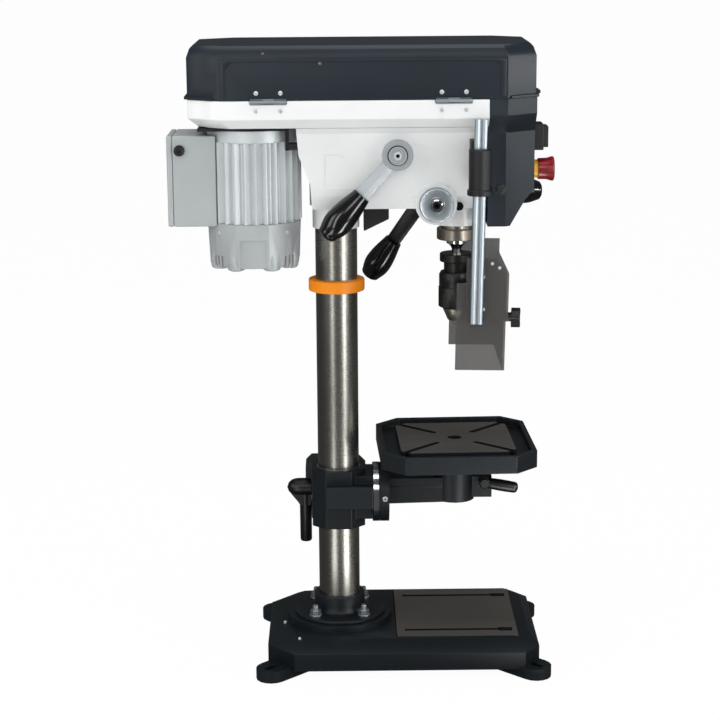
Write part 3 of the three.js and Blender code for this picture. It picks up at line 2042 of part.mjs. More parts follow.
function shieldKnob() {
  const start = shield.front + gap;
  const hub = bar(shield.knobHub, start, start + shield.knobLength, "x", [0, 0, 0], facets.small);
  const wings = [0, 1, 2].map((i) => {
    const geometry = new THREE.BoxGeometry(shield.knobLength / 2, shield.knobArm, shield.knobArmWidth)
      .translate(start + (shield.knobLength * 3) / 4, shield.knobArm / 2, 0)
      .rotateX((2 * Math.PI * i) / leverCount);
    return toSolid(geometry);
  });
  const screw = bar(
    shield.screwRadius,
    shield.front - 2 * shield.wall,
    start + gap,
    "x",
    [0, 0, 0],
    facets.small,
  );
  return join(hub, ...wings, screw);
}

buildStand();
buildTable();
buildHead();
buildControls();
buildDrive();
buildMotor();
buildTensionLever();
buildSpindle();
buildFeed();
buildGuard();

export default drillPress;
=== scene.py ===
# Looks of the benchtop drill press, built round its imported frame. Lengths are in millimetres from the
# column's axis until finish_piece turns them into metres in the frame.
import json
import math

import bmesh
import bpy
from mathutils import Matrix, Vector


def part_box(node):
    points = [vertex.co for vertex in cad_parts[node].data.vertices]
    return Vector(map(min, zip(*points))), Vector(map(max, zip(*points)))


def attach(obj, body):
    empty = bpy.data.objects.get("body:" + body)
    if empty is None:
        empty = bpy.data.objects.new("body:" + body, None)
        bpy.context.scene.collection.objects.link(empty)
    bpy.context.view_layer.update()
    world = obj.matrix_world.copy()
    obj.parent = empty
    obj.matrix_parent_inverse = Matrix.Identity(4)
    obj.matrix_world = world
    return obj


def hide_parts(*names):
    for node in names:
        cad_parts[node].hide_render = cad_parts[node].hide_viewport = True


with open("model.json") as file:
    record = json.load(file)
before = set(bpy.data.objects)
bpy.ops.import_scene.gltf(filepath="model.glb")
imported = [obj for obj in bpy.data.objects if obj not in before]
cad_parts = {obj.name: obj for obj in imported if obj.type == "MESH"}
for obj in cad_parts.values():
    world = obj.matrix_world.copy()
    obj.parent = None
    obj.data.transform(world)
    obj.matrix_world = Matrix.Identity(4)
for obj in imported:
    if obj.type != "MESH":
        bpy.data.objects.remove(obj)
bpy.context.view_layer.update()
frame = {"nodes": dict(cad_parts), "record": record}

# Sizes and places that several pieces share. The head's height is that of the lower end of its column
# socket, the tilt's that of its pivot.
MM = 0.001
COLUMN_LOW, COLUMN_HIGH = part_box("column")
COLUMN_AXIS = Vector(((COLUMN_LOW.x + COLUMN_HIGH.x) / 2, 0, 0))
COLUMN_BORE = 35.3
HEAD_HEIGHT = 743
COVER_HALF = 118
FEED_X = 163
SPINDLE_X = 201
TABLE_X = 199
TABLE_TOP = 377
TILT_HEIGHT = 282
FACE_NEAR = Matrix.Rotation(math.pi / 2, 4, "X")
FINE_SIDES = 96

# Degrees over which an edge is sharp, degrees under which faces are one flat, and the share of an edge's
# rounding that fine edges get
SHARP = 35
FLAT = 1
FINE_SHARE = 0.15

# A face points up when its normal rises by more than the first, and its middle lies at a height when it is
# less than the second away, in millimetres
UPWARD = 0.9
LEVEL = 0.2

# Points closer than this are one: in millimetres for built pieces, in metres for nodes
WELD = 1e-4
NODE_WELD = 1e-6

# The body and the material slot of each node
BODY_OF = {node: body for body, nodes in frame["record"]["behaviour"]["bodies"].items() for node in nodes}
SLOT_OF = {part["node"]: part["material_slot"] for part in frame["record"]["subparts"]}


# Node materials

COAT_ROUGHNESS = 0.12
LEAST_ROUGHNESS = 0.02
GRAIN_DETAIL = 3
CLOUD_SCALE = 14
CLOUD_DETAIL = 4
CLOUD_SHARES = (0.3, 0.7)
# Pointiness over which sharp edges take their lighter tint, a painted highlight that is partly worn paint
EDGE_SHEEN_AND_WEAR_SHARES = (0.52, 0.62)


def srgb(code):
    """Linear colour of an sRGB hex code."""
    values = [int(code[i:i + 2], 16) / 255 for i in (0, 2, 4)]
    return [v / 12.92 if v <= 0.04045 else ((v + 0.055) / 1.055) ** 2.4 for v in values]


def noise(tree, mapping, scale, detail):
    """Output of a noise texture."""
    made = tree.nodes.new("ShaderNodeTexNoise")
    made.inputs["Scale"].default_value = scale
    made.inputs["Detail"].default_value = detail
    tree.links.new(mapping.outputs["Vector"], made.inputs["Vector"])
    return made.outputs["Fac"]


def sheen_and_wear_edges(tree, colour, edge_sheen_and_wear, tint_of_sheen_and_wear):
    """Mixes a second, lighter colour into the sharp edges: a painted highlight along them that partly
    stands for worn paint.
    """
    edge = tree.nodes.new("ShaderNodeNewGeometry")
    spread = tree.nodes.new("ShaderNodeMapRange")
    spread.inputs["From Min"].default_value, spread.inputs["From Max"].default_value = EDGE_SHEEN_AND_WEAR_SHARES
    spread.inputs["To Max"].default_value = edge_sheen_and_wear
    tree.links.new(edge.outputs["Pointiness"], spread.inputs["Value"])
    mix = tree.nodes.new("ShaderNodeMixRGB")
    mix.inputs["Color2"].default_value = [*srgb(tint_of_sheen_and_wear), 1]
    tree.links.new(spread.outputs["Result"], mix.inputs["Fac"])
    tree.links.new(colour, mix.inputs["Color1"])
    return mix.outputs["Color"]


def material(name, colour, rough=0.5, metal=0.0, grain=1.0, bump=0.1, depth=0.05, vary=0.06,
             rough_vary=0.08, stretch=(1, 1, 1), coat=0.0, alpha=1.0, edge_sheen_and_wear=0.0, tint_of_sheen_and_wear="b8bcbf",
             aniso=0.0, specular=0.5):
    """A paint, metal or plastic with grain of a size in millimetres, cloudy colour and lighter sharp edges,
    which are a painted highlight and partly worn paint.
    """
    made = bpy.data.materials.new(name)
    made.use_nodes = True
    tree = made.node_tree
    nodes, links = tree.nodes, tree.links
    shader = nodes["Principled BSDF"]
    shader.inputs["Metallic"].default_value = metal
    shader.inputs["Coat Weight"].default_value = coat
    shader.inputs["Coat Roughness"].default_value = COAT_ROUGHNESS
    shader.inputs["Alpha"].default_value = alpha
    shader.inputs["Anisotropic"].default_value = aniso
    shader.inputs["Specular IOR Level"].default_value = specular
    place = nodes.new("ShaderNodeTexCoord")
    mapping = nodes.new("ShaderNodeMapping")
    mapping.inputs["Scale"].default_value = stretch
    links.new(place.outputs["Object"], mapping.inputs["Vector"])
    fine = noise(tree, mapping, 1 / (grain * MM), GRAIN_DETAIL)
    cloud = noise(tree, mapping, CLOUD_SCALE, CLOUD_DETAIL)
    base = srgb(colour)
    ramp = nodes.new("ShaderNodeValToRGB")
    dark, light = ramp.color_ramp.elements
    dark.position, light.position = CLOUD_SHARES
    dark.color = [*(c * (1 - vary) for c in base), 1]
    light.color = [*(min(1, c * (1 + vary)) for c in base), 1]
    links.new(cloud, ramp.inputs["Fac"])
    shown = ramp.outputs["Color"]
    if edge_sheen_and_wear:
        shown = sheen_and_wear_edges(tree, shown, edge_sheen_and_wear, tint_of_sheen_and_wear)
    links.new(shown, shader.inputs["Base Color"])
    level = nodes.new("ShaderNodeMapRange")
    level.inputs["To Min"].default_value = max(LEAST_ROUGHNESS, rough - rough_vary)
    level.inputs["To Max"].default_value = min(1, rough + rough_vary)
    links.new(fine, level.inputs["Value"])
    links.new(level.outputs["Result"], shader.inputs["Roughness"])
    relief = nodes.new("ShaderNodeBump")
    relief.inputs["Strength"].default_value = bump
    relief.inputs["Distance"].default_value = depth * MM
    links.new(fine, relief.inputs["Height"])
    links.new(relief.outputs["Normal"], shader.inputs["Normal"])
    return made


# The look of each material slot of the record
LOOK = {
    # The anthracite paints get a lighter tint on their sharp edges: a painted highlight, partly worn paint
    "anthracite": material("cast_anthracite", "12181c", 0.42, grain=1.6, bump=0.5, depth=0.2, edge_sheen_and_wear=0.2,
                           tint_of_sheen_and_wear="3f484f", specular=0.2),
    "anthracite_sheet": material("sheet_anthracite", "18212a", 0.4, grain=1.1, bump=0.35, depth=0.12,
                                 edge_sheen_and_wear=0.15, tint_of_sheen_and_wear="48525c", specular=0.25),
    "white": material("cast_white", "e6e8e8", 0.4, grain=3, bump=0.25, depth=0.15, vary=0.02, coat=0.2),
    "white_sheet": material("sheet_white", "e8eaea", 0.38, grain=4, bump=0.2, depth=0.12, vary=0.02,
                            coat=0.2),
    "grey": material("motor_grey", "a4a9aa", 0.45, 0.1, grain=1.4, bump=0.4, depth=0.15, vary=0.04),
    "steel": material("turned_steel", "86847e", 0.28, 1.0, grain=0.7, bump=0.05, depth=0.02,
                      stretch=(0.05, 0.05, 1), vary=0.06, rough_vary=0.03, aniso=0.4),
    "aluminium": material("drawn_aluminium", "8b9399", 0.34, 0.85, grain=0.8, bump=0.2, depth=0.02,
                          stretch=(1, 1, 0.04), vary=0.05),
    "zinc": material("zinc_plate", "8d9599", 0.38, 0.8, grain=1.5, bump=0.2, depth=0.04, vary=0.08),
    "black_plastic": material("gloss_black", "0d0e10", 0.16, grain=6, bump=0.06, depth=0.05, vary=0.1,
                              rough_vary=0.03, coat=0.1),
    "black_matte": material("matte_black", "131416", 0.5, grain=0.8, bump=0.3, depth=0.06, vary=0.1,
                            specular=0.3),
    "black_paint": material("satin_black", "101113", 0.36, grain=1.6, bump=0.3, depth=0.08, vary=0.1,
                            specular=0.35),
    "chuck_black": material("burnished_black", "171615", 0.36, 0.4, grain=0.6, bump=0.2, depth=0.02,
                            stretch=(0.1, 0.1, 1), vary=0.12),
    "orange": material("orange_paint", "f08a00", 0.45, grain=3, bump=0.1, vary=0.04, specular=0.2),
    "yellow": material("yellow_plastic", "f7bd22", 0.4, grain=1.5, bump=0.1, vary=0.04, specular=0.3),
    "red": material("dark_red_plastic", "8e0a15", 0.3, grain=2, bump=0.1, vary=0.06, coat=0.1),
    "rubber": material("belt_rubber", "1c1c1c", 0.75, grain=0.8, bump=0.4, vary=0.15),
    "smoked": material("smoked_sheet", "545250", 0.2, grain=20, bump=0.02, vary=0.05, rough_vary=0.02,
                       alpha=0.72, specular=0.3),
}

# Looks of single pieces that differ from their slot's
MILLED = material("milled_iron", "625e59", 0.4, 0.6, grain=1.2, bump=0.3, depth=0.03,
                  stretch=(0.05, 1, 1), vary=0.1, rough_vary=0.08, specular=0.4)
BRONZED = material("ground_steel", "7b756b", 0.34, 0.9, grain=0.7, bump=0.2, depth=0.02,
                   stretch=(0.1, 0.1, 1), vary=0.08)
BRIGHT = material("blasted_aluminium", "9fa5a8", 0.4, 0.3, grain=1.2, bump=0.3, depth=0.05, vary=0.05)
FINNED = material("motor_pale_grey", "c2c8ca", 0.42, 0.1, grain=1.4, bump=0.3, depth=0.12, vary=0.04)
SCREW = material("zinc_screw", "d4d8da", 0.3, 0.35, grain=2, bump=0.05, depth=0.02, vary=0.04)
CHROME = material("polished_steel", "c9cbcc", 0.14, 1.0, grain=2, bump=0.05, depth=0.02, vary=0.04,
                  rough_vary=0.03)
# Near black for painted shade in holes, a socket, a crease and under a step, and for the printed tilt marks
SHADE_AND_PRINT_BLACK = material("painted_shade_and_print_black", "060606", 0.7, grain=1, bump=0.2, vary=0.1, specular=0.1)


# Mesh builders, in millimetres from the column's axis

def built(points, faces):
    """A mesh object of the given corners and faces, with its faces turned outwards."""
    mesh = bpy.data.meshes.new("piece")
    mesh.from_pydata([tuple(p) for p in points], [], faces)
    work = bmesh.new()
    work.from_mesh(mesh)
    bmesh.ops.remove_doubles(work, verts=work.verts, dist=WELD)
    bmesh.ops.recalc_face_normals(work, faces=work.faces)
    work.to_mesh(mesh)
    work.free()
    piece = bpy.data.objects.new("piece", mesh)
    bpy.context.scene.collection.objects.link(piece)
    return piece


def along(axis, u, v, w):
    """A point of a shape built along Z, turned to run along an axis as the solids are."""
    return {"z": (u, v, w), "x": (w, u, v), "y": (v, w, u)}[axis]


def lathe(profile, at=(0, 0, 0), axis="z", sides=64, closed=False, ripple=None):
    """A profile of (radius, height) points turned about an axis. A closed profile makes a ring. A ripple
    of (depth, from, to) presses in every other line of the points between two heights."""
    points, faces = [], []
    for radius, height in profile:
        pressed = ripple and ripple[1] <= height <= ripple[2]
        for i in range(sides):
            turn = 2 * math.pi * i / sides
            reach = radius - ripple[0] if pressed and i % 2 else radius
            u, v = reach * math.cos(turn), reach * math.sin(turn)
            points.append(Vector(along(axis, u, v, height)) + Vector(at))
    count = len(profile)
    for level in range(count if closed else count - 1):
        above = (level + 1) % count * sides
        for i in range(sides):
            following = (i + 1) % sides
            faces.append((level * sides + i, level * sides + following, above + following, above + i))
    return built(points, faces)


def prism(outline, low, high, axis="z"):
    """An outline pushed along an axis. Its points are (x, y) along Z, (y, z) along X, (x, z) along Y."""
    def corner(p, w):
        return (p[0], w, p[1]) if axis == "y" else along(axis, p[0], p[1], w)
    n = len(outline)
    points = [corner(p, low) for p in outline] + [corner(p, high) for p in outline]
    faces = [tuple(range(n)), tuple(range(2 * n - 1, n - 1, -1))]
    faces += [(i, (i + 1) % n, n + (i + 1) % n, n + i) for i in range(n)]
    return built(points, faces)


def block(x, y, z):
    """A box between two values on each axis."""
    return prism([(x[0], y[0]), (x[1], y[0]), (x[1], y[1]), (x[0], y[1])], z[0], z[1])


def skin(rings):
    """A closed skin over rings of points that have the same count."""
    n = len(rings[0])
    points = [p for ring in rings for p in ring]
    faces = [tuple(range(n)), tuple(range(len(points) - 1, len(points) - n - 1, -1))]
    for level in range(len(rings) - 1):
        for i in range(n):
            a, b = level * n + i, level * n + (i + 1) % n
            faces.append((a, b, b + n, a + n))
    return built(points, faces)


def moved(piece, matrix):
    """Moves a piece's mesh."""
    piece.data.transform(matrix)
    return piece


def merged(*pieces):
    """Several closed meshes kept as one object."""
    work = bmesh.new()
    for piece in pieces:
        work.from_mesh(piece.data)
    first = pieces[0]
    work.to_mesh(first.data)
    work.free()
    for piece in pieces[1:]:
        bpy.data.objects.remove(piece)
    return first


def settle(piece, angle):
    """Shades a piece smooth except over its sharp edges."""
    piece.data.shade_smooth()
    piece.data.set_sharp_from_angle(angle=math.radians(angle))


def applied(piece):
    """Turns a piece's modifiers into its mesh."""
    bpy.context.view_layer.update()
    graph = bpy.context.evaluated_depsgraph_get()
    piece.data = bpy.data.meshes.new_from_object(piece.evaluated_get(graph))
    piece.modifiers.clear()


def carved(piece, *tools, operation="DIFFERENCE"):
    """Cuts or joins a piece with closed tools."""
    for tool in tools:
        change = piece.modifiers.new("cut", "BOOLEAN")
        change.operation = operation
        change.solver = "EXACT"
        change.object = tool
        applied(piece)
        bpy.data.objects.remove(tool)
    return piece


def bevelled(piece, width, segments=2, angle=SHARP, limit="ANGLE"):
    """Rounds the edges that are sharp, or those that carry a bevel weight."""
    bevel = piece.modifiers.new("edges", "BEVEL")
    bevel.width = width * MM
    bevel.segments = segments
    bevel.limit_method = limit
    bevel.angle_limit = math.radians(angle)
    bevel.miter_outer = "MITER_ARC"
    applied(piece)


def in_mm(point):
    """A point of the frame in millimetres from the column's axis."""
    return (point - COLUMN_AXIS) / MM


def span(node):
    """Lowest and highest corners of a node, in millimetres from the column's axis."""
    low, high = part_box(node)
    return in_mm(low), in_mm(high)


def placed(x, y, z, turn=0.0):
    """Matrix of a place, with a turn about Y."""
    return Matrix.Translation((x, y, z)) @ Matrix.Rotation(turn, 4, "Y")


def marked(piece, look, test):
    """Gives a second look to the faces whose middle in millimetres and normal pass a test."""
    piece.data.materials.append(look)
    for face in piece.data.polygons:
        if test(in_mm(face.center), face.normal):
            face.material_index = len(piece.data.materials) - 1


def finish_piece(piece, name, body, look, nodes=(), width=0.0, angle=SHARP):
    """Takes a piece from millimetres about the column to the frame, and makes it ride on its body."""
    piece.name = name
    piece.data.transform(Matrix.Translation(COLUMN_AXIS) @ Matrix.Scale(MM, 4))
    piece.data.materials.clear()
    piece.data.materials.append(look)
    if width:
        bevelled(piece, width, angle=angle)
    settle(piece, angle)
    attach(piece, body)
    if nodes:
        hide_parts(*nodes)
    return piece


def stand_in(piece, node, width=0.0, angle=SHARP, look=None):
    """Finishes a piece that stands for one node, with that node's body and slot."""
    slot = SLOT_OF[node]
    return finish_piece(piece, node + "_look", BODY_OF[node], look or LOOK[slot], (node,), width,
                        angle)


def detail(piece, name, node, slot, look=None, width=0.0):
    """Finishes a small piece that rides with a node beside it."""
    return finish_piece(piece, name, BODY_OF[node], look or LOOK[slot], (), width)


def refined(node, width, segments=2, angle=SHARP, look=None, fine=None):
    """Stands for a node with a copy of it whose edges are rounded. A test of an edge's middle, in
    millimetres, picks the fine edges, which get a small share of the width."""
    mesh = frame["nodes"][node].data.copy()
    work = bmesh.new()
    work.from_mesh(mesh)
    bmesh.ops.remove_doubles(work, verts=work.verts, dist=NODE_WELD)

    def is_fine(edge):
        return fine and fine(in_mm((edge.verts[0].co + edge.verts[1].co) / 2))

    coarse = [edge for edge in work.edges if not is_fine(edge)]
    corners = [corner for corner in work.verts if not (fine and fine(in_mm(corner.co)))]
    bmesh.ops.dissolve_limit(work, angle_limit=math.radians(FLAT), verts=corners, edges=coarse)
    weights = work.edges.layers.float.new("bevel_weight_edge")
    for edge in work.edges:
        if len(edge.link_faces) == 2 and edge.calc_face_angle() > math.radians(angle):
            edge[weights] = FINE_SHARE if is_fine(edge) else 1
    work.to_mesh(mesh)
    work.free()
    piece = bpy.data.objects.new(node + "_look", mesh)
    bpy.context.scene.collection.objects.link(piece)
    mesh.materials.clear()
    mesh.materials.append(look or LOOK[SLOT_OF[node]])
    bevelled(piece, width, segments, angle, "WEIGHT")
    settle(piece, angle)
    flat = piece.modifiers.new("flat", "WEIGHTED_NORMAL")
    flat.keep_sharp = True
    applied(piece)
    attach(piece, BODY_OF[node])
    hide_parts(node)
    return piece


def screw_head(radius, height):
    """A round screw head with a cross slot down to half its height, standing on the origin along Z."""
    profile = [(0, 0), (radius, 0), (radius, height * 0.5), (radius * 0.75, height * 0.9), (0, height)]
    arm, thin = radius * 0.62, radius * 0.13
    slot = (height * 0.5, 2 * height)
    return carved(lathe(profile, sides=20), block((-arm, arm), (-thin, thin), slot),
                  block((-thin, thin), (-arm, arm), slot))


def screw(name, node, radius, height, x, y, z):
    """A screw head on a near face, riding with a node."""
    detail(moved(screw_head(radius, height), placed(x, y, z) @ FACE_NEAR), name, node, "steel", SCREW)


# Stand: base, column, flange, bolts and ring

def build_stand():
    plate_top, plate_rear, plate_front, plate_half, groove = 60.5, 96, 303, 116, 4.5

    def by_plate(at):
        inside = abs(at.y) < plate_half and plate_rear < at.x < plate_front
        return inside and at.z > plate_top - groove

    base = refined("base_casting", 2.2, 3, fine=by_plate)
    marked(base, MILLED, lambda at, normal: normal.z > UPWARD and abs(at.z - plate_top) < LEVEL)
    level_end, slope = -50, 0.12
    pin_profile = [(0, 49), (2.6, 49), (2.6, 59), (1.8, 60), (0, 60.4)]
    for number, (x, y) in enumerate(((-83, 22), (-95, -21), (-68, -108)), 1):
        pin = lathe(pin_profile, (x, y, (x - level_end) * slope), sides=16)
        detail(pin, f"base_pin_{number}", "base_casting", "steel", SCREW)
    # Dark strip that paints the shade under the step at the plate's rear edge
    step_shade = block((95.4, 97.2), (-112, 112), (58.6, plate_top - 1))
    detail(step_shade, "plate_step_shade", "base_casting", "anthracite", SHADE_AND_PRINT_BLACK)

    low, high = span("column")
    radius, bore = high.x, high.x - 4
    tube = [(bore, low.z), (radius, low.z), (radius, high.z - 1), (radius - 1, high.z), (bore, high.z)]
    stand_in(lathe(tube, sides=FINE_SIDES, closed=True), "column")
    low, high = span("column_flange")
    disc, collar, foot = high.y, 43.5, low.z + 5
    flange = [(COLUMN_BORE, low.z), (disc - 1, low.z), (disc, low.z + 1), (disc, foot - 1.5),
              (disc - 1.5, foot), (collar + 8, foot), (collar + 3, foot + 1.6), (collar + 0.8, foot + 5),
              (collar, foot + 10), (collar, high.z - 1.5), (collar - 1.5, high.z), (COLUMN_BORE, high.z)]
    stand_in(lathe(flange, sides=FINE_SIDES, closed=True), "column_flange")
    low, high = span("column_ring")
    radius = high.y
    ring = [(COLUMN_BORE, low.z), (radius - 2.4, low.z), (radius - 0.6, low.z + 0.7),
            (radius, low.z + 2.4), (radius, high.z - 2.4), (radius - 0.6, high.z - 0.7),
            (radius - 2.4, high.z), (COLUMN_BORE, high.z)]
    stand_in(lathe(ring, sides=FINE_SIDES, closed=True), "column_ring")
    for number in range(1, 5):
        flange_bolt(f"flange_bolt_{number}")


def flange_bolt(node):
    """Washer, chamfered hexagon and a threaded end."""
    low, high = span(node)
    at = ((low.x + high.x) / 2, (low.y + high.y) / 2, low.z)
    washer = lathe([(0, 0), (10.5, 0), (10.5, 2.2), (9.8, 3), (0, 3)], at, sides=40)
    hexagon = lathe([(0, 3), (8.2, 3), (9, 3.8), (9, 10.2), (7.9, 11), (0, 11)], at, sides=6)
    length, pitch, rise = high.z - low.z, 1.2, 11
    thread = [(0, rise)]
    while rise < length - pitch:
        thread += [(4.9, rise), (4.3, rise + pitch / 2)]
        rise += pitch
    thread += [(4.2, length), (0, length)]
    stand_in(merged(washer, hexagon, lathe(thread, at, sides=24)), node, look=LOOK["zinc"])


# Table bracket, arm, table and their levers

def build_table():
    pivot_reach, slots_reach, slots_depth = 20, 104, 13

    def by_pivot(at):
        return math.hypot(at.y, at.z - TILT_HEIGHT) < pivot_reach

    def by_slots(at):
        inside = abs(at.y) < slots_reach and abs(at.x - TABLE_X) < slots_reach
        return inside and at.z > TABLE_TOP - slots_depth

    refined("table_bracket", 2.4, 3, fine=by_pivot)
    refined("table_arm", 2.2, 3, fine=by_pivot)
    refined("bracket_bush", 0.4)
    top = refined("work_table", 1.6, fine=by_slots)
    marked(top, MILLED, lambda at, normal: normal.z > UPWARD and abs(at.z - TABLE_TOP) < LEVEL)
    plug = lathe([(0, 0), (2.6, 0), (2.2, 0.6), (0, 0.7)], sides=20)
    plug = moved(plug, placed(122, -131.2, 354) @ FACE_NEAR)
    detail(plug, "table_plug", "work_table", "steel", SCREW)
    tilt_scale()
    column_lever()
    table_lever()
    rib = block((88, 176), (-26.6, -25.6), (296, 298))
    detail(rib, "arm_rib", "table_arm", "anthracite", width=0.4)
    screw("arm_screw", "table_arm", 4.6, 2.4, 79, -49.4, 283)


def tilt_scale():
    """Bright strip with degree marks round the near side of the tilt joint."""
    radius, rear, front = 51, 59.5, 68.5
    outline = []
    turns = [math.radians(degrees) for degrees in range(-42, 89, 2)]
    for reach, order in ((radius + 0.5, turns), (radius - 0.4, turns[::-1])):
        outline += [(-reach * math.cos(turn), TILT_HEIGHT + reach * math.sin(turn)) for turn in order]
    strip = prism(outline, rear, front, "x")
    detail(strip, "tilt_scale", "table_bracket", "steel", CHROME)
    pivot = Matrix.Translation((0, 0, TILT_HEIGHT))
    long_mark, short_mark = 6, 3.5
    marks = []
    for degrees in range(-35, 81, 5):
        length = long_mark if degrees % 10 == 0 else short_mark
        mark = block((front - length, front - 0.2), (-radius - 0.7, -radius - 0.2), (-0.2, 0.2))
        marks.append(moved(mark, pivot @ Matrix.Rotation(-math.radians(degrees), 4, "X")))
    detail(merged(*marks), "tilt_marks", "table_bracket", "black_paint", SHADE_AND_PRINT_BLACK)


def handle_profile(start, length, radius, tip):
    """Profile of a round handle with a slightly swollen middle and a domed end."""
    steps, dome_steps = 8, 6
    points = [(0, start), (radius * 0.86, start), (radius * 0.95, start + length * 0.08)]
    for i in range(steps + 1):
        share = i / steps
        swell = 1 - 0.05 * (2 * share - 1) ** 2
        points.append((radius * swell, start + length * (0.12 + 0.72 * share)))
    for i in range(1, dome_steps + 1):
        turn = math.pi / 2 * i / dome_steps
        points.append((radius * 0.95 * math.cos(turn), start + length - tip + tip * math.sin(turn)))
    return points


def column_lever():
    """Cast hub with a domed end, a shoulder below it and a long hanging handle."""
    low, high = span("column_lock_lever")
    start, axis_y, axis_z, half = -47.3, 54, 275, 9.5
    pivot = (0, axis_y, axis_z)
    hub = lathe([(0, start), (14.5, start), (15.5, start - 1), (15.5, start - 20), (15, start - 28),
                 (12.6, start - 35), (8, start - 40), (0, start - 43)], pivot, "x")
    stud = lathe([(0, start + 0.5), (5, start + 0.5), (5, high.x), (0, high.x)], pivot, "x", 24)
    middle = start - 10.8
    shoulder = prism([(middle + 9, axis_z), (start - 38, axis_z - 2), (start - 36, axis_z - 10),
                      (middle - 14, axis_z - 24), (middle - 9.5, axis_z - 31), (middle + 9, axis_z - 31)],
                     axis_y - half, axis_y + half, "y")
    bottom = low.z + 0.2
    handle = lathe([(0, axis_z - 4), (10.2, axis_z - 4), (10.5, axis_z - 30), (10.2, bottom + 3),
                    (9.4, bottom + 0.6), (8.4, bottom), (0, bottom)], (middle, axis_y, 0), sides=48)
    stand_in(merged(hub, stud, shoulder, handle), "column_lock_lever")


def table_lever():
    """Small hub on a stud, with a straight handle along X that drops a little."""
    x, z, drop = 249, 304, 0.18
    hub = lathe([(0, -37.3), (7.5, -37.3), (9, -35.6), (9, -17.3), (0, -17.3)], axis="y", sides=40)
    stud = lathe([(0, -17.6), (4, -17.6), (4, 17), (0, 17)], axis="y", sides=24)
    handle = lathe(handle_profile(6, 52, 10, 6), (0, -27.3, 0), "x", 40)
    stand_in(moved(merged(hub, stud, handle), placed(x, 0, z, drop)), "table_lock_lever")


# Head casting, pan, cover, hinges and housing

def cover_border(rear, front, low, top, side, band, corner):
    """Raised edge round the side panel of the cover, open at the bottom, with round inner corners."""
    outline = [(rear, low), (rear, top), (front, top), (front, low), (front - side, low)]
    height = top - band - corner
    for centre, first in ((front - side - corner, 0), (rear + side + corner, 90)):
        for degrees in range(first, first + 91, 15):
            turn = math.radians(degrees)
            outline.append((centre + corner * math.cos(turn), height + corner * math.sin(turn)))
    return outline + [(rear + side, low)]


def build_head():
    refined("head_casting", 1.8, 3)
    refined("belt_pan", 2.2, 3)
    refined("pulley_cover", 2.6, 4)
    refined("front_housing", 2.4, 3)
    refined("work_lamp", 2, 3)
    # Dark plug that paints the shade inside the set screw's hole on the head's near face
    hole_shade = lathe([(0, 0), (4.6, 0), (4.6, 1), (5.4, 1.6), (6.4, 1.2), (6.8, 0.2), (6.8, -3), (0, -3)],
                 sides=32)
    hole_shade = moved(hole_shade, placed(SPINDLE_X, -75, HEAD_HEIGHT + 43) @ FACE_NEAR)
    detail(hole_shade, "set_screw_hole_shade", "head_casting", "black_paint", SHADE_AND_PRINT_BLACK)
    for node in ("hinge_rear_lower", "hinge_front_lower", "hinge_rear_upper", "hinge_front_upper"):
        refined(node, 0.35)
    hinge_length, lower_row, upper_row = 58, 947, 975
    for side, start in (("rear", -134), ("front", 160)):
        for number, share in ((1, 0.17), (2, 0.84)):
            x = start + hinge_length * share
            screw(f"pan_screw_{side}_{number}", "belt_pan", 3.6, 2, x, -COVER_HALF, lower_row)
            screw(f"cover_screw_{side}_{number}", "pulley_cover", 3.6, 2, x, -COVER_HALF, upper_row)
    rivet_profile = [(0, -1), (2.6, -1), (2.6, 0.2), (0, 0.7)]
    for number, place in enumerate(((-112, -115, 1036), (-22, -117.8, 1021)), 1):
        rivet = moved(lathe(rivet_profile, sides=24), placed(*place) @ FACE_NEAR)
        detail(rivet, f"cover_rivet_{number}", "pulley_cover", "steel", BRONZED)
    inner, outer = COVER_HALF - 0.5, COVER_HALF + 1.2
    outline = cover_border(rear=-180, front=272, low=968, top=1027, side=9, band=3, corner=16)
    for side, start, end in (("near", -outer, -inner), ("far", inner, outer)):
        border = prism(outline, start, end, "y")
        detail(border, f"cover_border_{side}", "pulley_cover", "anthracite_sheet", width=0.8)
    catch = block((-239.5, -236.2), (-24, 24), (972, 986))
    detail(catch, "cover_catch", "pulley_cover", "black_paint", width=1)


# Switch, stop button and push button

def build_controls():
    refined("switch_housing", 1.6, 3)
    refined("switch_rocker", 1.2, 3)
    x, z = 325.3, HEAD_HEIGHT + 94
    collar = [(12.3, x), (17, x), (17, x + 1.4), (15, x + 1.8), (15, x + 12), (14, x + 13), (12.3, x + 13)]
    stand_in(lathe(collar, (0, 0, z), "x", closed=True), "estop_collar")
    dome = [(0, x + 4.3), (12, x + 4.3), (12, x + 17.6), (15.6, x + 17.6), (15.6, x + 9.6),
            (16.8, x + 9.6), (17.4, x + 10.4), (17.8, x + 24), (19.6, x + 30), (20.5, x + 33.6),
            (19.8, x + 35.4), (17.6, x + 36.4), (9, x + 36.9), (0, x + 37)]
    stand_in(lathe(dome, (0, 0, z), "x"), "estop_button")
    refined("lower_button", 1.2, 3)


# Pulleys and belts

def build_drive():
    for node in ("motor_pulley", "idler_pulley", "spindle_pulley"):
        refined(node, 0.5)
    for node in ("rear_belt", "front_belt"):
        refined(node, 0.8)


# Motor with its fan cover, carriage and terminal box

# Degrees from a corner's middle to the broad face beside it and to the edge of its own facet, and the
# share of the radius at that edge
FAN_FACE = 26
FAN_CORNER = 6.5
FAN_SHARE = 0.985


def build_motor():
    refined("motor_body", 0.8, angle=30, look=FINNED)
    refined("motor_carriage", 0.8)
    fan_cover()
    refined("terminal_box", 2.4, 3)
    refined("terminal_lid", 2.4, 3)
    low, high = span("cable_gland")
    x, z = (low.x + high.x) / 2, (low.z + high.z) / 2
    nut = [(0, high.y), (9, high.y), (9, high.y - 3.4), (7.6, high.y - 4), (7.2, low.y + 1), (5.6, low.y),
           (3.6, low.y), (3.4, low.y + 3), (0, low.y + 3)]
    stand_in(lathe(nut, (x, 0, z), "y", 24), "cable_gland")


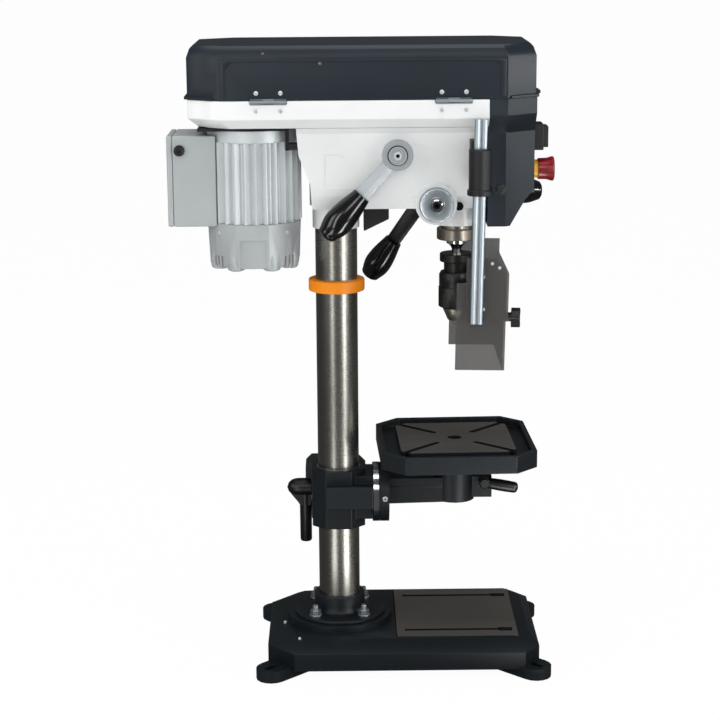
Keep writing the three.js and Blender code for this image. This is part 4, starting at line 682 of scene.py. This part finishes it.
def fan_outline(radius):
    """Sixteen flat facets: four broad faces, four corners and the slopes between them."""
    facets = ((-FAN_FACE, 1), (-FAN_CORNER, FAN_SHARE), (FAN_CORNER, FAN_SHARE), (FAN_FACE, 1))
    points = []
    for middle in (45, 135, 225, 315):
        for offset, share in facets:
            turn = math.radians(middle + offset)
            points.append((radius * share * math.cos(turn), radius * share * math.sin(turn)))
    return points


def fan_cover():
    """Faceted shell with a recess in each face, lobes beside it and slots at its lower corners."""
    low, high = span("fan_cover")
    at_x = (low.x + high.x) / 2
    radius = (high.y - low.y) / 2
    bottom, outside = low.z - 9, radius + 9
    levels = ((0.9, low.z + 4.5), (0.94, low.z + 5.6), (0.965, low.z + 10), (1.0, high.z - 1),
              (0.99, high.z))
    shell = skin([[(x, y, z) for x, y in fan_outline(radius * scale)] for scale, z in levels])
    lobe = [(0, low.z), (10, low.z), (13.4, low.z + 1.6), (15, low.z + 5), (15.2, low.z + 20),
            (12.5, low.z + 34), (0, low.z + 34)]
    lobe_reach, lobe_turn = radius - 16.5, 27
    for quarter in range(4):
        for side in (-1, 1):
            turn = math.radians(quarter * 90 + side * lobe_turn)
            centre = (lobe_reach * math.cos(turn), lobe_reach * math.sin(turn), 0)
            carved(shell, lathe(lobe, centre, sides=32), operation="UNION")
    recess_half, recess_top, depth = 21.5, low.z + 52, 9
    for quarter in range(4):
        tool = block((radius - depth, outside), (-recess_half, recess_half), (bottom, recess_top))
        carved(shell, moved(tool, Matrix.Rotation(quarter * math.pi / 2, 4, "Z")))
    slot_half, slot_top, slot_depth = 2, low.z + 24, 14
    for quarter in (1, 3):
        for degrees in (43, 49.5, 56):
            for side in (-1, 1):
                tool = block((radius - slot_depth, outside), (-slot_half, slot_half), (bottom, slot_top))
                turn = quarter * math.pi / 2 + side * math.radians(degrees)
                carved(shell, moved(tool, Matrix.Rotation(turn, 4, "Z")))
    stand_in(moved(shell, Matrix.Translation((at_x, 0, 0))), "fan_cover", 0.9, angle=25)
    sunk, drop = 0.6, 15
    reach = radius * FAN_SHARE * math.cos(math.radians(FAN_CORNER)) - sunk
    face_out = Matrix.Translation((reach, 0, 0)) @ Matrix.Rotation(math.pi / 2, 4, "Y")
    for number, (x, y) in enumerate(((-1, -1), (1, -1), (-1, 1), (1, 1)), 1):
        turn = math.atan2(y, x)
        place = Matrix.Translation((at_x, 0, high.z - drop)) @ Matrix.Rotation(turn, 4, "Z")
        head = moved(screw_head(3.4, 2.2), place @ face_out)
        detail(head, f"fan_screw_{number}", "fan_cover", "steel", SCREW)


# Levers and grips

def grip_profile(length, belly):
    """Profile of a grip that swells from its neck and ends blunt and round."""
    neck, tip, widest, shoulder = 15.5, 17.0, length * 0.62, length * 0.9
    steps, fall_steps, end_steps = 14, 6, 7
    points = [(0, 0), (neck - 1.5, 0), (neck - 0.3, 0.6), (neck, 2)]
    for i in range(1, steps + 1):
        rise = math.sin(math.pi / 2 * i / steps) ** 1.15
        points.append((neck + (belly - neck) * rise, 2 + (widest - 2) * i / steps))
    for i in range(1, fall_steps + 1):
        fall = 1 - math.cos(math.pi / 2 * i / fall_steps)
        points.append((belly - (belly - tip) * fall, widest + (shoulder - widest) * i / fall_steps))
    for i in range(1, end_steps + 1):
        turn = math.pi / 2 * i / end_steps
        radius = tip * math.cos(turn) ** 0.7 if i < end_steps else 0
        points.append((radius, shoulder + (length - shoulder) * math.sin(turn)))
    return points


def lever_arm(start, end, width_start, width_end):
    """Flat arm along X whose near face rises to a ridge along its middle."""
    back, side, ridge = 4.5, -2.25, -6.1
    rings = []
    for x, half in ((start, width_start / 2), (end, width_end / 2)):
        rings.append([(x, back, -half), (x, back, half), (x, side, half), (x, ridge, half * 0.1),
                      (x, side, -half)])
    return skin(rings)


def build_tension():
    """Lever with a hexagon bolt in its boss, and the lever's grip."""
    place = placed(100.5, -91.8, HEAD_HEIGHT + 129, -3.98)
    hub = lathe([(0, 6.5), (24, 6.5), (25, 5.6), (25, -4.6), (23.6, -6.2), (18, -6.5), (0, -6.5)], axis="y")
    boss = lathe([(0, -4), (15, -4), (15, -10.6), (14, -11.5), (12.4, -11.5), (11.6, -9.6), (0, -9.6)],
                 axis="y")
    bolt = lathe([(0, -9), (7, -9), (7, -10.8), (6.2, -11.4), (3.6, -11.4), (3.6, -9.8), (0, -9.8)],
                 axis="y", sides=6)
    stud = lathe([(0, 6.2), (5, 6.2), (5, 15.5), (0, 15.5)], axis="y", sides=24)
    arm = lever_arm(14, 112, 21, 25)
    stand_in(moved(merged(hub, boss, stud, arm), place), "tension_lever", look=BRIGHT)
    # Thin dark ring that paints the shade in the crease round the foot of the boss
    ring = lathe([(15, -6.4), (16.6, -6.4), (16.6, -6.9), (15, -6.9)], axis="y", closed=True)
    detail(moved(ring, place), "tension_crease_shade", "tension_lever", "black_paint", SHADE_AND_PRINT_BLACK)
    detail(moved(bolt, place), "tension_bolt", "tension_lever", "steel", SCREW)
    # Dark hexagon that paints the shade inside the bolt's socket
    recess = lathe([(0, -9.6), (3.4, -9.6), (3.4, -10), (0, -10)], axis="y", sides=6)
    detail(moved(recess, place), "tension_bolt_socket_shade", "tension_lever", "black_paint", SHADE_AND_PRINT_BLACK)
    grip = lathe(grip_profile(92, 23.5), (86, 0, 0), "x")
    stand_in(moved(grip, place), "tension_grip")


def build_feed():
    """Hub with three leaning arms and their grips, and the spring cap on the far end of the shaft."""
    x, z, plane, first, lean = FEED_X, HEAD_HEIGHT + 48, 112, 4.125, 0.2166
    low, high = span("feed_hub")
    hub_parts = [lathe([(10.3, low.y), (26, low.y), (27, low.y + 1), (27, high.y - 3), (25, high.y - 1),
                        (21, high.y - 0.4), (20, high.y - 1.6), (14, high.y - 1.6), (13, high.y),
                        (0, high.y), (0, high.y - 2.6), (10.3, high.y - 2.6)], axis="y")]
    for number in range(3):
        turn = -(first + 2 * math.pi * number / 3)
        leaning = Matrix.Rotation(turn, 4, "Y") @ Matrix.Rotation(lean, 4, "Z")
        arm = lever_arm(16, 137, 27, 24)
        hub_parts.append(moved(arm, Matrix.Translation((0, plane, 0)) @ leaning))
        place = Matrix.Translation((x, plane, z)) @ leaning
        grip = lathe(grip_profile(81.5, 22.8), (117.5, 0, 0), "x")
        stand_in(moved(grip, place), f"feed_grip_{number + 1}")
        pin = lathe([(0, 5), (3, 5), (3, -6), (2, -6.6), (0, -6.6)], (108, 0, 0), "y", 20)
        detail(moved(pin, place), f"grip_pin_{number + 1}", "feed_hub", "black_paint")
    stand_in(moved(merged(*hub_parts), Matrix.Translation((x, 0, z))), "feed_hub")
    low, high = span("feed_shaft")
    shaft = lathe([(0, low.y), (10, low.y), (10, high.y), (0, high.y)], (x, 0, z), "y", 48)
    stand_in(shaft, "feed_shaft")
    low, high = span("spring_cap")
    out = low.y + 5
    cap = [(25, high.y), (28, high.y), (28, out + 2), (27.4, out + 0.6), (26, out), (24.4, out + 0.8),
           (14, out + 0.8), (12.6, out - 0.6), (11.4, out - 0.6), (11, out + 0.2), (0, out + 0.2),
           (0, out + 3), (25, out + 3)]
    stand_in(lathe(cap, (x, 0, z), "y"), "spring_cap")
    nut = lathe([(0, out + 0.4), (10, out + 0.4), (10, low.y + 1.4), (8.4, low.y), (6.6, low.y),
                 (6.2, low.y + 1), (0, low.y + 1)], (x, 0, z), "y", 40)
    detail(nut, "spring_nut", "spring_cap", "steel", CHROME)
    # Dark dished disc that paints the shade in the nut's centre hole
    end = lathe([(0, low.y + 1.2), (6, low.y + 1.2), (5.6, low.y + 0.2), (3, low.y + 0.2), (2.6, low.y + 1),
                 (0, low.y + 1)], (x, 0, z), "y", 24)
    detail(end, "spring_nut_hole_shade", "spring_cap", "black_paint", SHADE_AND_PRINT_BLACK)


# Quill, spindle and chuck

def build_spindle():
    at = (SPINDLE_X, 0, 0)
    low, high = span("quill")
    collar = high.x - SPINDLE_X
    quill = [(13, low.z), (collar - 1, low.z), (collar, low.z + 1), (collar, low.z + 17.6),
             (collar - 1.2, low.z + 19), (27, low.z + 19), (27, high.z), (13, high.z)]
    stand_in(lathe(quill, at, sides=FINE_SIDES, closed=True), "quill", look=BRONZED)
    low, high = span("spindle")
    nose = low.z + 49.7
    shaft = [(0, low.z), (8, low.z), (8, nose - 17), (9, nose - 14), (12, nose - 10), (17, nose - 6.6),
             (17, nose - 1), (16.2, nose), (9, nose), (9, high.z), (0, high.z)]
    stand_in(lathe(shaft, at), "spindle", look=CHROME)
    low, high = span("chuck_body")
    top, lower_step = high.z, high.z - 92.6
    body = [(8.3, top), (26.8, top), (28, top - 1.2), (28, top - 12.8), (26.8, top - 14), (22.4, top - 14),
            (21, top - 15.4), (21, top - 91.3), (23.4, top - 91.3), (23.4, top - 93), (14.6, low.z + 0.8),
            (13.6, low.z), (5, low.z), (5, top - 60), (8.3, top - 40)]
    chuck = stand_in(lathe(body, at, sides=FINE_SIDES, closed=True), "chuck_body")
    marked(chuck, BRONZED, lambda middle, normal: middle.z < lower_step)
    low, high = span("chuck_sleeve")
    band = low.z + 34.7
    sleeve = [(21.3, low.z), (28.8, low.z), (30, low.z + 1.2), (30, band - 1.4), (29.4, band - 0.6),
              (28.6, band), (28.6, band + 1), (29, band + 1.6), (29, high.z - 5), (26.4, high.z),
              (21.3, high.z)]
    ripple = (0.5, low.z + 1.2, band - 1.4)
    stand_in(lathe(sleeve, at, sides=144, closed=True, ripple=ripple), "chuck_sleeve")
    for number in (1, 2, 3):
        refined(f"jaw_{number}", 0.4, look=BRONZED)


# Swing guard

def build_guard():
    x, y = 230.5, -130
    refined("guard_cradle", 1.4, 3)
    low, high = span("guard_sleeve")
    sleeve = [(11.7, low.z), (19.6, low.z), (20.7, low.z + 1), (20.7, low.z + 8), (19.6, low.z + 9.2),
              (18.3, low.z + 9.6), (18.3, high.z - 1.6), (16.8, high.z), (11.7, high.z)]
    collar = lathe(sleeve, (x, y, 0), sides=72, closed=True)
    height = low.z + 9
    stud = lathe([(0, 18), (3, 18), (3, 27), (0, 27)], (x, y, height), "x", 24)
    knob = lathe([(0, 26.4), (8, 26.4), (9, 27.4), (9, 38.6), (8, 40.3), (0, 40.3)],
                 (x, y, height), "x", 36, ripple=(0.8, 27, 39))
    stand_in(merged(collar, stud, knob), "guard_sleeve")
    refined("guard_rod", 0.6)
    refined("upper_shield", 1.3, 3)
    refined("lower_shield", 1.3, 3)
    refined("shield_knob", 1.6, 3, look=LOOK["black_matte"])
    for number, (x, z) in enumerate(((237.5, 678), (237.5, 625), (251.5, 700), (263.5, 693)), 1):
        screw(f"shield_screw_{number}", "upper_shield", 2.6, 1.4, x, -124.4, z)


build_stand()
build_table()
build_head()
build_controls()
build_drive()
build_motor()
build_tension()
build_feed()
build_spindle()
build_guard()


# Floor, lights and camera, in metres

WHITE = (1, 1, 1, 1)
FLOOR_COLOUR = (0.9, 0.9, 0.9, 1)
FLOOR_ROUGHNESS = 0.9
FLOOR_GLOW = 0.97
FLOOR_MIRRORED = 0.1
FLOOR_HALF = 40
WORLD_LEVEL = 0.55
WORLD_MIRRORED = 0.1
MIDDLE = (0, 0, 0.5)

# Name, place, target, width, height and power of the softboxes, and whether one is only mirrored
LAMPS = (
    ("key_left", (-2.4, -1.6, 1.45), MIDDLE, 1.0, 2.2, 22, False),
    ("fill_right", (2.4, -1.5, 1.1), MIDDLE, 0.9, 2.0, 15, False),
    ("top", (0, -0.3, 2.8), MIDDLE, 2.2, 1.6, 34, False),
    ("front", (0.2, -3.4, 2.4), MIDDLE, 1.6, 1.0, 20, False),
    ("front_corner", (2.3, -0.43, 1.02), (0.3, -0.1, 1.0), 0.6, 0.2, 14, True),
)

# Side, bearing in degrees from the near side and power of the upright strips
STRIPS = (("left", -25, 11), ("right", 41, 26))
STRIP_DISTANCE = 2
STRIP_HEIGHT = 0.9
STRIP_SIZE = (0.34, 1.8)
FLOOR_STRIP_WIDTH = 0.2
FLOOR_STRIP_HEIGHT = 0.002
FLOOR_STRIP_LEAN = 0.01

# Shares of the strips' distance and power that the strips on the floor get
FLOOR_STRIP_PLACE = 0.6
FLOOR_STRIP_LENGTH = 0.8
FLOOR_STRIP_POWER = 0.5

# The camera's pitch, yaw and roll in degrees, its place from the column's axis, and lens and sensor in
# millimetres
CAMERA_TURNS = (13.088, 0.450, 0.421)
CAMERA_PLACE = Vector((0.0135, -3.1563, 1.2478))
CAMERA_LENS = 95.635
CAMERA_SENSOR = 36


def stage_material():
    """White that glows where the camera sees it, and is dark where metal mirrors it."""
    made = bpy.data.materials.new("floor_white")
    made.use_nodes = True
    nodes, links = made.node_tree.nodes, made.node_tree.links
    shader = nodes["Principled BSDF"]
    shader.inputs["Base Color"].default_value = FLOOR_COLOUR
    shader.inputs["Roughness"].default_value = FLOOR_ROUGHNESS
    glow = nodes.new("ShaderNodeEmission")
    dark = nodes.new("ShaderNodeEmission")
    dark.inputs["Color"].default_value = WHITE
    dark.inputs["Strength"].default_value = FLOOR_MIRRORED
    path = nodes.new("ShaderNodeLightPath")
    seen = nodes.new("ShaderNodeMath")
    seen.operation = "MAXIMUM"
    links.new(path.outputs["Is Camera Ray"], seen.inputs[0])
    links.new(path.outputs["Is Transmission Ray"], seen.inputs[1])
    share = nodes.new("ShaderNodeMath")
    share.operation = "MULTIPLY"
    share.inputs[1].default_value = FLOOR_GLOW
    links.new(seen.outputs[0], share.inputs[0])
    white = nodes.new("ShaderNodeMixShader")
    links.new(share.outputs[0], white.inputs["Fac"])
    links.new(shader.outputs[0], white.inputs[1])
    links.new(glow.outputs[0], white.inputs[2])
    mirrored = nodes.new("ShaderNodeMixShader")
    links.new(path.outputs["Is Glossy Ray"], mirrored.inputs["Fac"])
    links.new(white.outputs[0], mirrored.inputs[1])
    links.new(dark.outputs[0], mirrored.inputs[2])
    links.new(mirrored.outputs[0], nodes["Material Output"].inputs["Surface"])
    return made


def lamp(name, place, target, width, height, power, mirrored_only):
    """A softbox. One that is only mirrored gives metal its streaks and lights nothing else."""
    light = bpy.data.lights.new(name, "AREA")
    light.shape = "RECTANGLE"
    light.size = width
    light.size_y = height
    light.energy = power
    held = bpy.data.objects.new(name, light)
    held.location = place
    held.rotation_euler = (Vector(target) - Vector(place)).to_track_quat("-Z", "Y").to_euler()
    held.visible_diffuse = held.visible_camera = held.visible_transmission = not mirrored_only
    bpy.context.scene.collection.objects.link(held)


def strips(side, bearing, power):
    """An upright strip at a bearing, and one on the floor that faces up, both only mirrored."""
    away = Vector((math.sin(math.radians(bearing)), -math.cos(math.radians(bearing)), 0))
    upright = COLUMN_AXIS + away * STRIP_DISTANCE + Vector((0, 0, STRIP_HEIGHT))
    lamp("strip_" + side, upright, upright - away, *STRIP_SIZE, power, True)
    flat = COLUMN_AXIS + Vector((0, 0, FLOOR_STRIP_HEIGHT)) + away * STRIP_DISTANCE * FLOOR_STRIP_PLACE
    above = flat + Vector((0, 0, 1)) + away * FLOOR_STRIP_LEAN
    length = STRIP_DISTANCE * FLOOR_STRIP_LENGTH
    lamp("floor_strip_" + side, flat, above, FLOOR_STRIP_WIDTH, length, power * FLOOR_STRIP_POWER, True)


floor_mesh = bpy.data.meshes.new("floor")
floor_corners = [(-1, -1), (1, -1), (1, 1), (-1, 1)]
floor_mesh.from_pydata([(x * FLOOR_HALF, y * FLOOR_HALF, 0) for x, y in floor_corners], [], [(0, 1, 2, 3)])
floor_mesh.materials.append(stage_material())
floor = bpy.data.objects.new("floor", floor_mesh)
bpy.context.scene.collection.objects.link(floor)

world = bpy.data.worlds.new("studio")
bpy.context.scene.world = world
world.use_nodes = True
world_nodes, world_links = world.node_tree.nodes, world.node_tree.links
background = world_nodes["Background"]
background.inputs["Color"].default_value = WHITE
ray = world_nodes.new("ShaderNodeLightPath")
level = world_nodes.new("ShaderNodeMapRange")
level.inputs["To Min"].default_value = WORLD_LEVEL
level.inputs["To Max"].default_value = WORLD_MIRRORED
world_links.new(ray.outputs["Is Glossy Ray"], level.inputs["Value"])
world_links.new(level.outputs["Result"], background.inputs["Strength"])

for settings in LAMPS:
    lamp(*settings)
for settings in STRIPS:
    strips(*settings)

pitch, yaw, roll = (math.radians(degrees) for degrees in CAMERA_TURNS)
forward = Vector((math.sin(yaw) * math.cos(pitch), math.cos(yaw) * math.cos(pitch), -math.sin(pitch)))
level_right = Vector((math.cos(yaw), -math.sin(yaw), 0))
level_down = forward.cross(level_right)
right = level_right * math.cos(roll) + level_down * math.sin(roll)
down = level_down * math.cos(roll) - level_right * math.sin(roll)
camera_data = bpy.data.cameras.new("camera")
camera_data.lens = CAMERA_LENS
camera_data.sensor_width = CAMERA_SENSOR
camera = bpy.data.objects.new("camera", camera_data)
turn = Matrix((right, -down, -forward)).transposed().to_4x4()
camera.matrix_world = Matrix.Translation(COLUMN_AXIS + CAMERA_PLACE) @ turn
bpy.context.scene.collection.objects.link(camera)
bpy.context.scene.camera = camera

bpy.context.scene.view_settings.view_transform = "Standard"
